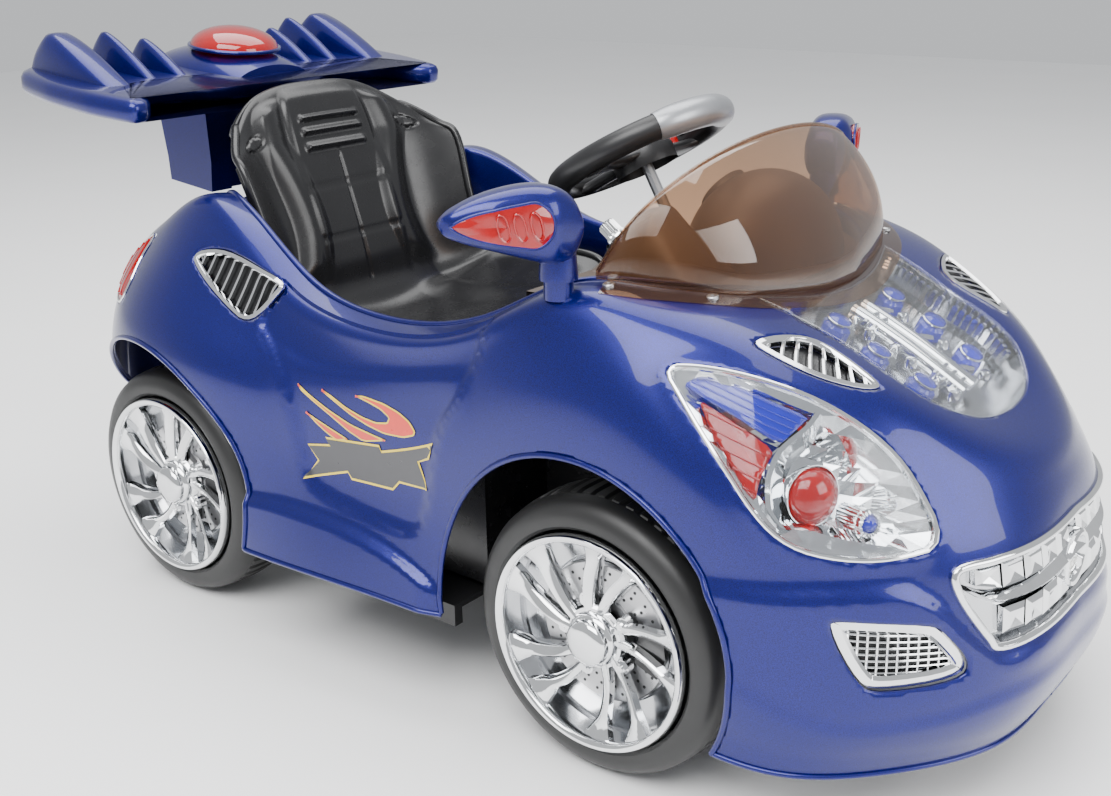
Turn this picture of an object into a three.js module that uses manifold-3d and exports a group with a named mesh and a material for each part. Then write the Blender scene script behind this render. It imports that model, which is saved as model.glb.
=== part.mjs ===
// Battery ride-on car for a small child: one-piece moulded body, real steering and two driven wheels.
// Millimetres. +X is the car's front, +Y its left, +Z up. The origin is on the ground under the middle.
import * as THREE from "three";
import { mergeVertices } from "three/addons/utils/BufferGeometryUtils.js";
import Module from "manifold-3d";

const wasm = await Module();
wasm.setup();

// ---------- driving dimensions ----------

const GAP = 0.4; // clearance between pieces that touch
const WALL = 3.5; // body shell thickness

const FRONT_AXLE_X = 245;
const REAR_AXLE_X = -315;
const AXLE_Z = 125;
const AXLE_R = 5;
const WHEEL_Y = 205; // middle of each tyre
const TYRE_R = 125;
const TYRE_HALF = 40;
const RIM_R = 96;
const FRONT_ARCH = { x: 238, z: 140, r: 148, inner: 150 };
const REAR_ARCH = { x: -300, z: 140, r: 155, inner: 150 };

const KINGPIN_Y = 168;
const STEER_ARM = 50; // kingpin to tie rod, behind the axle
const TIE_Z = 95;
const COLUMN_TILT = THREE.MathUtils.degToRad(30); // from vertical, top leaning back
const STEER_CENTRE = new THREE.Vector3(123, 0, 487);
const STEER_RIM_R = 80;
const STEER_TUBE_R = 12;
const CRANK = 30; // steering column axis to crank pin

const FLOOR_Z = 110; // underside of the cockpit floor
const MIRROR_POST = { x: 199, y: 218, z: 420 };
const MIRROR_SWEEP = { left: 15, right: 29 }; // degrees swept back from straight out

const FACETS = 20;

// ---------- finishes ----------

const finish = (color, roughness, metalness = 0, opacity = 1) =>
  new THREE.MeshStandardMaterial({ color, roughness, metalness, opacity, transparent: opacity < 1 });
const BLUE = finish(0x14209a, 0.22, 0.4);
const BLACK = finish(0x0c0c0d, 0.42);
const SILVER = finish(0x9a9ca0, 0.4, 0.5);
const CHROME = finish(0xd8dadc, 0.1, 1);
const STEEL = finish(0x85888c, 0.35, 0.9);
const CLEAR = finish(0xf0f4f6, 0.06, 0, 0.25);
const BRONZE = finish(0x6b5242, 0.08, 0, 0.5);
const RED = finish(0xc4101a, 0.12, 0, 0.85);
const BLUE_CLEAR = finish(0x1c34d0, 0.15, 0, 0.8);
const GREY = finish(0x70706c, 0.5);

// ---------- solids from geometry ----------

// A closed three.js geometry as a manifold solid.
function solid(geometry) {
  geometry.deleteAttribute("normal");
  geometry.deleteAttribute("uv");
  const merged = mergeVertices(geometry, 1e-3);
  return new wasm.Manifold(
    new wasm.Mesh({
      numProp: 3,
      vertProperties: merged.attributes.position.array,
      triVerts: new Uint32Array(merged.index.array),
    }),
  );
}

// A manifold solid as a geometry with flat-shaded normals.
function geometryOf(body) {
  const mesh = body.getMesh();
  const geometry = new THREE.BufferGeometry();
  geometry.setAttribute("position", new THREE.BufferAttribute(mesh.vertProperties, 3));
  geometry.setIndex(new THREE.BufferAttribute(mesh.triVerts, 1));
  const flat = geometry.toNonIndexed();
  flat.computeVertexNormals();
  return flat;
}

const join = (first, ...others) => others.reduce((sum, other) => sum.add(other), first);

function block([x0, x1], [y0, y1], [z0, z1]) {
  const box = new THREE.BoxGeometry(x1 - x0, y1 - y0, z1 - z0);
  return solid(box.translate((x0 + x1) / 2, (y0 + y1) / 2, (z0 + z1) / 2));
}

// A round bar between two points.
function rod(from, to, r0, r1 = r0, facets = 12) {
  const axis = new THREE.Vector3().subVectors(to, from);
  const bar = new THREE.CylinderGeometry(r1, r0, axis.length(), facets);
  const turn = new THREE.Quaternion().setFromUnitVectors(
    new THREE.Vector3(0, 1, 0), axis.clone().normalize(),
  );
  bar.applyQuaternion(turn);
  bar.translate(...new THREE.Vector3().addVectors(from, to).multiplyScalar(0.5).toArray());
  return solid(bar);
}

const at = (x, y, z) => new THREE.Vector3(x, y, z);

// An outline in plan, [x, y] points, raised from z0 to z1.
function plan(outline, z0, z1) {
  const shape = new THREE.Shape(outline.map(([x, y]) => new THREE.Vector2(x, y)));
  const slab = new THREE.ExtrudeGeometry(shape, { depth: z1 - z0, bevelEnabled: false, curveSegments: 6 });
  return solid(slab.translate(0, 0, z0));
}

// An outline in side view, [x, z] points, from y0 to y1.
function side(outline, y0, y1) {
  const shape = new THREE.Shape(outline.map(([x, z]) => new THREE.Vector2(x, z)));
  const slab = new THREE.ExtrudeGeometry(shape, { depth: y1 - y0, bevelEnabled: false });
  slab.rotateX(Math.PI / 2);
  return solid(slab.translate(0, y1, 0));
}

// A turned solid about the Y axis; profile points are [radius, y] and close on themselves.
// Each radius is that of the flats, and a flat is lowest.
function turned(profile, facets = FACETS) {
  const half = Math.PI / facets;
  const points = profile.map(([r, y]) => new THREE.Vector2(r / Math.cos(half), y));
  if (profile[0][0] > 0) points.push(points[0].clone());
  return solid(new THREE.LatheGeometry(points, facets, half));
}

// The mirror image of a solid on the other side of the middle plane.
function flipY(body) {
  const mesh = body.getMesh();
  const position = mesh.vertProperties.map((value, i) => (i % 3 === 1 ? -value : value));
  const faces = mesh.triVerts.map((_, i) => mesh.triVerts[i % 3 === 0 ? i : i % 3 === 1 ? i + 1 : i - 1]);
  return new wasm.Manifold(new wasm.Mesh({ numProp: 3, vertProperties: position, triVerts: faces }));
}

// The near-side outline with its mirror image, as one closed loop symmetrical about the car's middle.
const bothSides = (half) => [
  ...half, ...half.filter(([, y]) => y !== 0).reverse().map(([x, y]) => [x, -y]),
];

// Each outline moved in (or out, for a negative distance) by a distance, corner by corner.
function inset(outline, distance) {
  const area = THREE.ShapeUtils.area(outline.map(([x, y]) => new THREE.Vector2(x, y)));
  const turn = Math.sign(area) * distance;
  return outline.map(([x, y], i) => {
    const [px, py] = outline[(i + outline.length - 1) % outline.length];
    const [nx, ny] = outline[(i + 1) % outline.length];
    const before = new THREE.Vector2(x - px, y - py).normalize();
    const after = new THREE.Vector2(nx - x, ny - y).normalize();
    const normal = new THREE.Vector2(-before.y - after.y, before.x + after.x).normalize();
    const stretch = Math.max(0.5, normal.dot(new THREE.Vector2(-before.y, before.x)));
    return [x + (normal.x * turn) / stretch, y + (normal.y * turn) / stretch];
  });
}

// A grid of points, thickened along its normals: a closed curved sheet, grid side outermost.
function sheet(rows, thickness) {
  const count = rows[0].length;
  const grid = new THREE.BufferGeometry();
  grid.setAttribute(
    "position", new THREE.Float32BufferAttribute(rows.flat().flatMap((p) => p.toArray()), 3),
  );
  const faces = [];
  const quad = (a, b, c, d) => faces.push(a, b, c, a, c, d);
  for (let i = 0; i + 1 < rows.length; i++)
    for (let j = 0; j + 1 < count; j++)
      quad(i * count + j, i * count + j + 1, (i + 1) * count + j + 1, (i + 1) * count + j);
  grid.setIndex(faces);
  grid.computeVertexNormals();
  const outer = grid.attributes.position.array;
  const normals = grid.attributes.normal.array;
  const inner = outer.map((value, i) => value - thickness * normals[i]);
  const far = rows.length * count;
  const all = [...faces];
  for (let i = 0; i < faces.length; i += 3) all.push(
    far + faces[i], far + faces[i + 2], far + faces[i + 1],
  );
  const rim = [];
  for (let j = 0; j + 1 < count; j++) rim.push(j);
  for (let i = 0; i + 1 < rows.length; i++) rim.push(i * count + count - 1);
  for (let j = count - 1; j > 0; j--) rim.push((rows.length - 1) * count + j);
  for (let i = rows.length - 1; i > 0; i--) rim.push(i * count);
  rim.forEach((a, k) => {
    const b = rim[(k + 1) % rim.length];
    all.push(a, far + a, far + b, a, far + b, b);
  });
  const closed = new THREE.BufferGeometry();
  closed.setAttribute("position", new THREE.Float32BufferAttribute([...outer, ...inner], 3));
  closed.setIndex(all);
  return solid(closed);
}

// ---------- the body's outer surface ----------

// Each feature line runs from the middle of the tail, round the right side, to the middle of the nose.
// Its points are [x, distance from the middle plane, z], one at each of the same sixteen stations.
const FEATURE_LINES = {
  spine: [
    [-385, 0, 400], [-378, 0, 402], [-355, 0, 408], [-305, 0, 418], [-245, 0, 425], [-160, 0, 402],
    [-88, 0, 372], [10, 0, 362], [108, 0, 382], [182, 0, 412], [238, 0, 414], [282, 0, 406],
    [322, 0, 396], [355, 0, 384], [385, 0, 370], [398, 0, 364],
  ],
  mid: [
    [-415, 0, 388], [-405, 60, 390], [-375, 100, 396], [-315, 122, 412], [-250, 130, 428], [-160, 140, 400],
    [-90, 150, 368], [10, 150, 358], [110, 148, 378], [188, 138, 412], [250, 125, 414], [305, 112, 404],
    [355, 96, 386], [400, 70, 364], [430, 36, 346], [443, 0, 338],
  ],
  crest: [
    [-440, 0, 370], [-430, 90, 373], [-398, 150, 384], [-332, 185, 408], [-255, 198, 434], [-165, 212, 393],
    [-92, 222, 358], [10, 227, 348], [110, 227, 368], [190, 216, 408], [262, 196, 410], [325, 180, 396],
    [385, 155, 372], [437, 118, 350], [475, 62, 322], [488, 0, 312],
  ],
  shoulder: [
    [-458, 0, 342], [-450, 100, 344], [-422, 172, 356], [-347, 212, 378], [-262, 222, 400], [-175, 230, 368],
    [-95, 236, 340], [12, 238, 332], [110, 238, 350], [192, 235, 384], [268, 224, 390], [335, 210, 374],
    [402, 182, 346], [460, 138, 322], [505, 75, 300], [522, 0, 290],
  ],
  belt: [
    [-466, 0, 310], [-458, 110, 312], [-432, 190, 320], [-358, 240, 334], [-272, 256, 345], [-182, 254, 328],
    [-97, 246, 310], [14, 242, 302], [110, 243, 315], [193, 246, 342], [268, 245, 352], [340, 236, 335],
    [412, 208, 306], [472, 156, 285], [520, 87, 272], [535, 0, 268],
  ],
  widest: [
    [-470, 0, 272], [-462, 115, 272], [-438, 200, 275], [-368, 255, 283], [-282, 277, 292], [-190, 277, 285],
    [-98, 258, 268], [15, 248, 262], [110, 248, 268], [194, 252, 292], [268, 254, 298], [344, 252, 288],
    [422, 230, 262], [487, 173, 240], [539, 92, 228], [550, 0, 227],
  ],
  lower: [
    [-470, 0, 225], [-462, 117, 225], [-438, 204, 225], [-370, 258, 225], [-285, 277, 225], [-193, 276, 222],
    [-98, 258, 215], [15, 248, 210], [110, 248, 210], [194, 251, 220], [268, 253, 222], [345, 254, 210],
    [425, 236, 185], [493, 179, 172], [547, 95, 167], [556, 0, 166],
  ],
  sill: [
    [-465, 0, 185], [-457, 118, 185], [-434, 205, 185], [-368, 258, 180], [-285, 276, 165], [-193, 275, 160],
    [-98, 266, 158], [15, 258, 155], [110, 252, 150], [194, 250, 150], [268, 253, 145], [345, 254, 132],
    [425, 237, 115], [493, 180, 108], [547, 96, 105], [555, 0, 104],
  ],
  bottom: [
    [-455, 0, 160], [-448, 117, 160], [-425, 203, 158], [-362, 255, 140], [-285, 272, 115], [-193, 275, 110],
    [-98, 276, 110], [15, 268, 110], [110, 256, 105], [194, 248, 100], [268, 250, 90], [345, 251, 76],
    [420, 233, 66], [484, 176, 64], [535, 94, 66], [543, 0, 68],
  ],
};
const LINES = Object.values(FEATURE_LINES);
const STATIONS = LINES[0].length;
const INTERPOLATION_PASSES = 6;
const mirrored = ([x, y, z]) => [x, -y, z];
const blend = (a, b, c, weights) => a.map(
  (_, k) => weights[0] * a[k] + weights[1] * b[k] + weights[2] * c[k],
);

// The net with one more line and station all round: mirrored at the middle, straight on past the bottom.
function padded(net) {
  const lines = [net[1].map(mirrored), ...net];
  const last = net.length - 1;
  lines.push(net[last].map((p, i) => p.map((value, k) => 2 * value - net[last - 1][i][k])));
  return lines.map((line) => [mirrored(line[1]), ...line, mirrored(line[line.length - 2])]);
}

const CUBIC = [1 / 6, 4 / 6, 1 / 6];

// Where a cubic B-spline surface with these control points passes at each of them.
function smoothed(net) {
  const wide = padded(net);
  return net.map((line, v) =>
    line.map((_, u) => {
      const across = [0, 1, 2].map(
        (k) => blend(wide[v + k][u], wide[v + k][u + 1], wide[v + k][u + 2], CUBIC),
      );
      return blend(...across, CUBIC);
    }),
  );
}

// Control points whose surface passes through the feature lines' own points.
function controlNet(points) {
  let net = points;
  for (let pass = 0; pass < INTERPOLATION_PASSES; pass++) {
    const reached = smoothed(net);
    net = net.map(
      (line, v) => line.map((p, u) => p.map((value, k) => value + points[v][u][k] - reached[v][u][k])),
    );
  }
  return padded(net);
}

const NET = controlNet(LINES);
const weights = (t) => [
  (1 - t) ** 3, 3 * t ** 3 - 6 * t ** 2 + 4, -3 * t ** 3 + 3 * t ** 2 + 3 * t + 1, t ** 3,
];

// The surface's point at station u (0 tail to 15 nose) and line v (0 spine to 8 bottom), right side.
function surface(u, v) {
  const i = Math.min(Math.floor(u), STATIONS - 2);
  const j = Math.min(Math.floor(v), LINES.length - 2);
  const across = weights(u - i);
  const down = weights(v - j);
  const point = at(0, 0, 0);
  for (let b = 0; b < 4; b++)
    for (let a = 0; a < 4; a++) point.addScaledVector(at(...NET[j + b][i + a]), (across[a] * down[b]) / 36);
  point.y = -point.y;
  return point;
}

const GRID = { u: 26, v: 13 };

// The open body surface as one mesh of both sides, with its smooth normals and its bottom edge.
function bodySurface() {
  const position = [];
  const faces = [];
  const index = (s, i, j) => (s * (GRID.u + 1) + i) * (GRID.v + 1) + j;
  for (const s of [0, 1])
    for (let i = 0; i <= GRID.u; i++)
      for (let j = 0; j <= GRID.v; j++) {
        const p = surface((i * (STATIONS - 1)) / GRID.u, (j * (LINES.length - 1)) / GRID.v);
        const onMiddle = i === 0 || i === GRID.u || j === 0;
        position.push(p.x, onMiddle ? 0 : s ? -p.y : p.y, p.z);
      }
  for (const s of [0, 1])
    for (let i = 0; i < GRID.u; i++)
      for (let j = 0; j < GRID.v; j++) {
        const [a, b, c, d] = [
          index(s, i, j), index(s, i, j + 1), index(s, i + 1, j + 1), index(s, i + 1, j),
        ];
        faces.push(...(s ? [a, c, b, a, d, c] : [a, b, c, a, c, d]));
      }
  const open = new THREE.BufferGeometry();
  open.setAttribute("position", new THREE.Float32BufferAttribute(position, 3));
  open.setIndex(faces);
  const merged = mergeVertices(open, 1e-3);
  merged.computeVertexNormals();
  const edge = [0, 1].map((s) => {
    const found = [];
    for (let i = 0; i <= GRID.u; i++) {
      const k = 3 * index(s, i, GRID.v);
      found.push(nearest(merged, position[k], position[k + 1], position[k + 2]));
    }
    return found;
  });
  return { geometry: merged, edge };
}

function nearest(geometry, x, y, z) {
  const p = geometry.attributes.position;
  let best = 0;
  let least = Infinity;
  for (let i = 0; i < p.count; i++) {
    const d = (p.getX(i) - x) ** 2 + (p.getY(i) - y) ** 2 + (p.getZ(i) - z) ** 2;
    if (d < least) [best, least] = [i, d];
  }
  return best;
}

const SURFACE = bodySurface();

// The space inside the body surface moved in by a depth, closed below by a skirt that drops by an amount.
function skin(depth, drop = 0) {
  const p = SURFACE.geometry.attributes.position;
  const n = SURFACE.geometry.attributes.normal;
  const points = [];
  for (let i = 0; i < p.count; i++) {
    const y = Math.abs(p.getY(i)) < 1e-3 ? 0 : p.getY(i) - depth * n.getY(i);
    points.push([p.getX(i) - depth * n.getX(i), y, p.getZ(i) - depth * n.getZ(i)]);
  }
  const faces = [...SURFACE.geometry.index.array];
  let [right, left] = SURFACE.edge;
  if (drop) {
    const lowered = new Map();
    const lower = (k) => {
      if (!lowered.has(k)) {
        lowered.set(k, points.length);
        points.push([points[k][0], points[k][1], points[k][2] - drop]);
      }
      return lowered.get(k);
    };
    for (let i = 0; i < GRID.u; i++) {
      const [a, b, c, d] = [right[i], right[i + 1], lower(right[i]), lower(right[i + 1])];
      faces.push(a, c, d, a, d, b);
      const [e, f, g, h] = [left[i], left[i + 1], lower(left[i]), lower(left[i + 1])];
      faces.push(e, h, g, e, f, h);
    }
    right = right.map(lower);
    left = left.map(lower);
  }
  for (let i = 0; i < GRID.u; i++) {
    if (right[i] !== left[i]) faces.push(right[i], left[i], left[i + 1]);
    if (right[i + 1] !== left[i + 1]) faces.push(right[i], left[i + 1], right[i + 1]);
  }
  const closed = new THREE.BufferGeometry();
  closed.setAttribute("position", new THREE.Float32BufferAttribute(points.flat(), 3));
  closed.setIndex(faces);
  return solid(closed);
}

// A band of the body's skin between two depths.
const band = (from, to) => skin(from).subtract(skin(to, 60));

// ---------- outlines on the body ----------

// Openings in the skin: [station, line] points on the right side, and the direction they are cut along.
const HEADLIGHT = {
  outline: [
    [10.52, 3.38], [10.95, 3.09], [11.55, 2.83], [12.12, 2.76], [12.7, 3.08], [13.08, 3.65],
    [13.33, 4.7], [12.85, 4.96], [12.4, 5.06], [11.95, 5.08], [11.65, 4.9], [11.3, 4.38], [10.85, 3.78],
  ],
  along: at(0.55, -0.66, 0.5),
};
const HOOD_VENT = {
  outline: [
    [11.34, 2.15], [11.62, 1.66], [12.05, 1.36], [12.5, 1.5], [12.94, 1.98], [12.73, 2.25], [12.2, 2.35],
    [11.65, 2.27],
  ],
  along: at(0.43, -0.1, 0.89),
};
const SHOULDER_VENT = {
  outline: [
    [4.12, 3.3], [4.5, 2.92], [5.05, 2.42], [5.5, 2.05], [5.62, 2.25], [5.5, 3.2], [5.3, 3.8], [4.9, 3.7],
    [4.4, 3.52],
  ],
  along: at(0.12, -0.82, 0.56),
};
const FOG_GRILLE = {
  outline: [
    [12.3, 5.74], [12.4, 5.66], [13.15, 5.65], [13.28, 5.78], [13.49, 6.14], [13.42, 6.35], [12.75, 6.44],
    [12.6, 6.35],
  ],
  along: at(0.76, -0.65, 0.03),
};
const TAIL_LIGHT = {
  outline: [
    [3.05, 2.75], [2.95, 3.3], [3.08, 3.9], [3.0, 4.35], [2.6, 4.2], [2.2, 3.6], [2.35, 3.1], [2.7, 2.8],
  ],
  along: at(-0.45, -0.72, 0.52),
};
const GRILLE_RIGHT = [
  [15, 4.78], [14.6, 4.82], [14.05, 4.88], [13.7, 4.95], [13.38, 5.06], [13.4, 5.38],
  [13.65, 5.9], [13.78, 6.05], [14.3, 6.03], [15, 6],
];

// Openings seen from above, [x, y] points on the right side from front to back.
const COCKPIT = [
  [322, 0], [318, -55], [302, -104], [276, -142], [244, -168], [200, -190], [150, -204], [60, -208],
  [-40, -207], [-120, -200], [-190, -190], [-250, -174], [-305, -140], [-335, -90], [-345, 0],
];
const ENGINE_BAY = [
  [343, 0], [339, -40], [331, -75], [319, -112], [354, -107], [388, -100], [425, -99],
  [455, -90], [476, -64], [486, -35], [489, 0],
];

// An outline's points swept along a direction, from outside the skin to inside it, moved in by a margin.
function swept(points, along, margin, outward, inward) {
  const forward = along.clone().normalize();
  const across = at(0, 0, 1).cross(forward).normalize();
  const up = forward.clone().cross(across);
  const flat = points.map((p) => [p.dot(across), p.dot(up)]);
  const moved = inset(flat, margin);
  const ring = points.map((p, i) =>
    p.clone().addScaledVector(
      across, moved[i][0] - flat[i][0],
    ).addScaledVector(up, moved[i][1] - flat[i][1]),
  );
  const loop = moved.map(([a, b]) => new THREE.Vector2(a, b));
  if (THREE.ShapeUtils.isClockWise(loop)) {
    ring.reverse();
    loop.reverse();
  }
  const count = ring.length;
  const position = [outward, -inward].flatMap(
    (d) => ring.map((p) => p.clone().addScaledVector(forward, d)),
  );
  const cap = THREE.ShapeUtils.triangulateShape(loop, []);
  const faces = cap.flatMap(([a, b, c]) => [a, b, c, a + count, c + count, b + count]);
  for (let i = 0; i < count; i++) {
    const j = (i + 1) % count;
    faces.push(i, i + count, j + count, i, j + count, j);
  }
  const closed = new THREE.BufferGeometry();
  closed.setAttribute(
    "position", new THREE.Float32BufferAttribute(position.flatMap((p) => p.toArray()), 3),
  );
  closed.setIndex(faces);
  return solid(closed);
}

const plug = ({ outline, along }, margin, outward = 30, inward = 40) =>
  swept(outline.map(([u, v]) => surface(u, v)), along, margin, outward, inward);

function grillePlug(margin) {
  const right = GRILLE_RIGHT.map(([u, v]) => surface(u, v));
  const left = right.slice(1, -1).reverse().map((p) => at(p.x, -p.y, p.z));
  return swept([...right, ...left], at(1, 0, 0), margin, 30, 60);
}

// ---------- body and trim ----------

function archCutter({ x, z, r, inner }) {
  return rod(at(x, -330, z), at(x, -inner, z), r, r, 32);
}

function bodyShell() {
  const FLANGE_BOTTOM = 318;
  const SOCKET = { r: 17, bore: 12.8, top: MIRROR_POST.z, floor: 404 };
  const CHIN = { half: 57, top: 78 };
  const opening = bothSides(COCKPIT);
  const cutters = [HEADLIGHT, HOOD_VENT, SHOULDER_VENT, FOG_GRILLE, TAIL_LIGHT].map((o) => plug(o, 0));
  cutters.push(archCutter(FRONT_ARCH), archCutter(REAR_ARCH));
  const socket = rod(
    at(MIRROR_POST.x, -MIRROR_POST.y, 380), at(MIRROR_POST.x, -MIRROR_POST.y, SOCKET.top), SOCKET.r,
    SOCKET.r, 16,
  );
  const bore = rod(
    at(MIRROR_POST.x, -MIRROR_POST.y, SOCKET.floor), at(MIRROR_POST.x, -MIRROR_POST.y, 440), SOCKET.bore,
    SOCKET.bore, 16,
  );
  const flange = plan(inset(opening, -WALL), FLANGE_BOTTOM, 460).intersect(skin(1));
  let shell = band(0, WALL).add(flange).add(socket).add(flipY(socket));
  shell = shell.subtract(plan(opening, 250, 600)).subtract(plan(bothSides(ENGINE_BAY), 285, 600));
  shell = shell.subtract(grillePlug(0)).subtract(bore).subtract(flipY(bore));
  shell = shell.subtract(block([400, 620], [-CHIN.half, CHIN.half], [0, CHIN.top]));
  return cutters.reduce((left, cut) => left.subtract(cut).subtract(flipY(cut)), shell);
}

// A lens or vent that fills an opening, from a depth above the skin to a depth inside it.
const insert = (opening, from, to) => band(from, to).intersect(plug(opening, GAP));

// The cup behind a headlight lens, open towards the lens.
function headlightBowl() {
  const SIDE_GAP = 1.4;
  const BACK = 34;
  const cup = band(WALL + 1, BACK).intersect(plug(HEADLIGHT, SIDE_GAP, 10, 60));
  const hollow = band(0, BACK - 3).intersect(plug(HEADLIGHT, SIDE_GAP + 3, 30, 60));
  return cup.subtract(hollow);
}

function headlightLamp() {
  const centre = surface(12.3, 4.5).addScaledVector(HEADLIGHT.along.clone().normalize(), -17);
  const ball = new THREE.SphereGeometry(13, 10, 6);
  return solid(ball.translate(...centre.toArray()));
}

const GRILLE_DEPTH = { front: 5, back: 9 };
const frontGrille = () => band(GRILLE_DEPTH.front, GRILLE_DEPTH.back).intersect(grillePlug(-2));
const BADGE = { z: 197, r: 25, x: 556 };

function grilleBadge() {
  const disc = rod(at(BADGE.x - 30, 0, BADGE.z), at(BADGE.x, 0, BADGE.z), BADGE.r, BADGE.r - 2, 20);
  return disc.subtract(skin(GRILLE_DEPTH.front - GAP));
}

// The windscreen: a convex wrap-round screen between its foot on the body and its free upper edge.
function windscreenRows(rise) {
  const FOOT = [
    [216, -194, 419], [240, -187, 418], [262, -176, 415], [289, -153, 410], [311, -122, 404],
    [326, -78, 399], [336, -30, 395], [338, 0, 394.5],
  ];
  const TOP = { x: 272, z: 518 };
  const BULGE = 16;
  const foot = [
    ...FOOT, ...FOOT.slice(0, -1).reverse().map(([x, y, z]) => [x, -y, z]),
  ].map((p) => at(...p));
  const last = foot.length - 1;
  return [0, 0.2, 0.45, 0.7, 0.88, 1].map((t) =>
    foot.map((p, i) => {
      const sweep = Math.sin((Math.PI * i) / last) ** 0.8;
      const angle = Math.PI * (i / last);
      const edge = at(216 + (TOP.x - 216) * sweep, -194 * Math.cos(angle), 419 + (TOP.z - 419) * sweep);
      const point = p.clone().lerp(edge, t);
      const outward = at(point.x - 200, point.y * 0.6, 30).normalize();
      return point.addScaledVector(outward, BULGE * 4 * t * (1 - t) * sweep + rise);
    }),
  );
}
const windscreen = () => sheet(windscreenRows(0), 2.4);

function engineCover() {
  return band(0, 2.5).intersect(plan(inset(bothSides(ENGINE_BAY), GAP), 285, 600));
}

const ENGINE_TRAY = { top: 24, bottom: 27.5, margin: 7 };
const CAP_SPOTS = [[362, 52], [400, 55], [438, 48]];

function engineBlock() {
  const { top, bottom, margin } = ENGINE_TRAY;
  const outline = inset(bothSides(ENGINE_BAY), margin);
  const tray = band(top, bottom).intersect(plan(outline, 240, 600));
  const lump = block([352, 440], [-16, 16], [250, 400]).intersect(skin(9)).subtract(skin(top + 1, 60));
  const ribs = [-32, 32].map(
    (y) => block([356, 432], [y - 4, y + 4], [250, 400]).intersect(skin(14)).subtract(skin(top + 1, 60)),
  );
  return join(tray, lump, ...ribs);
}

// Three plug caps on a rail, on the engine's right side.
function engineCaps() {
  const outer = skin(8);
  const below = skin(ENGINE_TRAY.top - GAP - 0.6, 60);
  const caps = CAP_SPOTS.map(([x, y]) => rod(at(x, -y, 260), at(x, -y, 420), 9, 9, 10));
  const rail = block([CAP_SPOTS[0][0], CAP_SPOTS[2][0]], [-52, -46], [260, 420]).intersect(skin(17));
  return join(rail, ...caps).intersect(outer).subtract(below);
}

// ---------- interior ----------

const steerAxis = at(-Math.sin(COLUMN_TILT), 0, Math.cos(COLUMN_TILT));
const alongColumn = (d) => STEER_CENTRE.clone().addScaledVector(steerAxis, -d);

const TUB = { half: 194, tunnel: 106, back: -62, shoulder: 92, front: 218, top: 338, wall: 3 };

function cockpitTub() {
  const { half, tunnel, back, shoulder, front, top, wall } = TUB;
  const outline = bothSides(
    [[front, 0], [front, -tunnel], [shoulder, -tunnel], [shoulder, -half], [back, -half], [back, 0]],
  );
  const outer = plan(outline.filter(([, y]) => y !== 0), FLOOR_Z, top);
  const inner = plan(inset(outline.filter(([, y]) => y !== 0), wall), FLOOR_Z + wall + 1, top + 10);
  const columnSlot = block([front - 10, front + 10], [-12, 12], [296, top + 10]);
  const legOpening = block([back - 5, back + 5], [-half - 5, half + 5], [238, top + 10]);
  const ears = [-92, -34].map((y) => block([110, 128], [y, y + 5], [FLOOR_Z + 2, 131]));
  const pinHole = rod(at(PEDAL.x, -100, PEDAL.z), at(PEDAL.x, -20, PEDAL.z), PEDAL.pin + GAP);
  return join(outer.subtract(inner).subtract(columnSlot).subtract(legOpening), ...ears).subtract(pinHole);
}

const PEDAL = { x: 119, z: 123, pin: 3, from: -86, to: -35 };

function pedal() {
  const plate = side(
    [[119, 119], [124, 118], [192, 142], [194, 149], [188, 151], [119, 128]], PEDAL.from, PEDAL.to,
  );
  return plate.add(
    rod(at(PEDAL.x, PEDAL.from - 5, PEDAL.z), at(PEDAL.x, PEDAL.to + 5, PEDAL.z), PEDAL.pin),
  );
}

// The seat in rows across it, from its front edge over the cushion and up the back: the middle's x and z,
// the half width, how far the sides come forward and up from there, and how far the top corners drop.
const SEAT_ROWS = [
  { x: -48, z: 250, half: 184, forward: 0, up: 20, drop: 0 },
  { x: -52, z: 284, half: 184, forward: 0, up: 26, drop: 0 },
  { x: -74, z: 296, half: 184, forward: 0, up: 30, drop: 0 },
  { x: -150, z: 290, half: 183, forward: 0, up: 36, drop: 0 },
  { x: -208, z: 288, half: 174, forward: 12, up: 36, drop: 0 },
  { x: -240, z: 306, half: 164, forward: 26, up: 24, drop: 0 },
  { x: -262, z: 370, half: 153, forward: 34, up: 10, drop: 0 },
  { x: -288, z: 446, half: 158, forward: 36, up: 4, drop: 0 },
  { x: -306, z: 496, half: 150, forward: 32, up: 0, drop: 30 },
  { x: -322, z: 524, half: 122, forward: 16, up: 0, drop: 36 },
  { x: -330, z: 520, half: 118, forward: 14, up: 0, drop: 40 },
];

function seat() {
  const THICKNESS = 8;
  const across = [-1, -0.84, -0.62, -0.31, 0, 0.31, 0.62, 0.84, 1];
  const rows = SEAT_ROWS.map(({ x, z, half, forward, up, drop }) =>
    across.map((a) => {
      const wing = Math.max(0, (Math.abs(a) - 0.6) / 0.4) ** 1.5;
      return at(x + forward * wing, a * half, z + up * wing - drop * Math.abs(a) ** 3);
    }),
  );
  return sheet(rows, THICKNESS);
}

function dashboard() {
  const base = plan(
    inset(bothSides(COCKPIT), 5), 384, 400,
  ).intersect(block([148, 330], [-250, 250], [300, 500]));
  const hump = new THREE.SphereGeometry(1, 16, 8).scale(62, 84, 76).translate(236, 38, 398);
  const cowl = side([[150, 398], [184, 450], [200, 456], [262, 398]], -112, -46);
  const columnHole = rod(alongColumn(20), alongColumn(180), 15, 15, 14);
  const screenRoom = plan(inset(bothSides(COCKPIT), 8), 384, 500);
  return join(base, solid(hump), cowl).intersect(screenRoom).subtract(columnHole);
}

const KNOB = { centre: at(163, -86, 423), axis: at(-0.8, 0, 0.6) };

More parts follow.
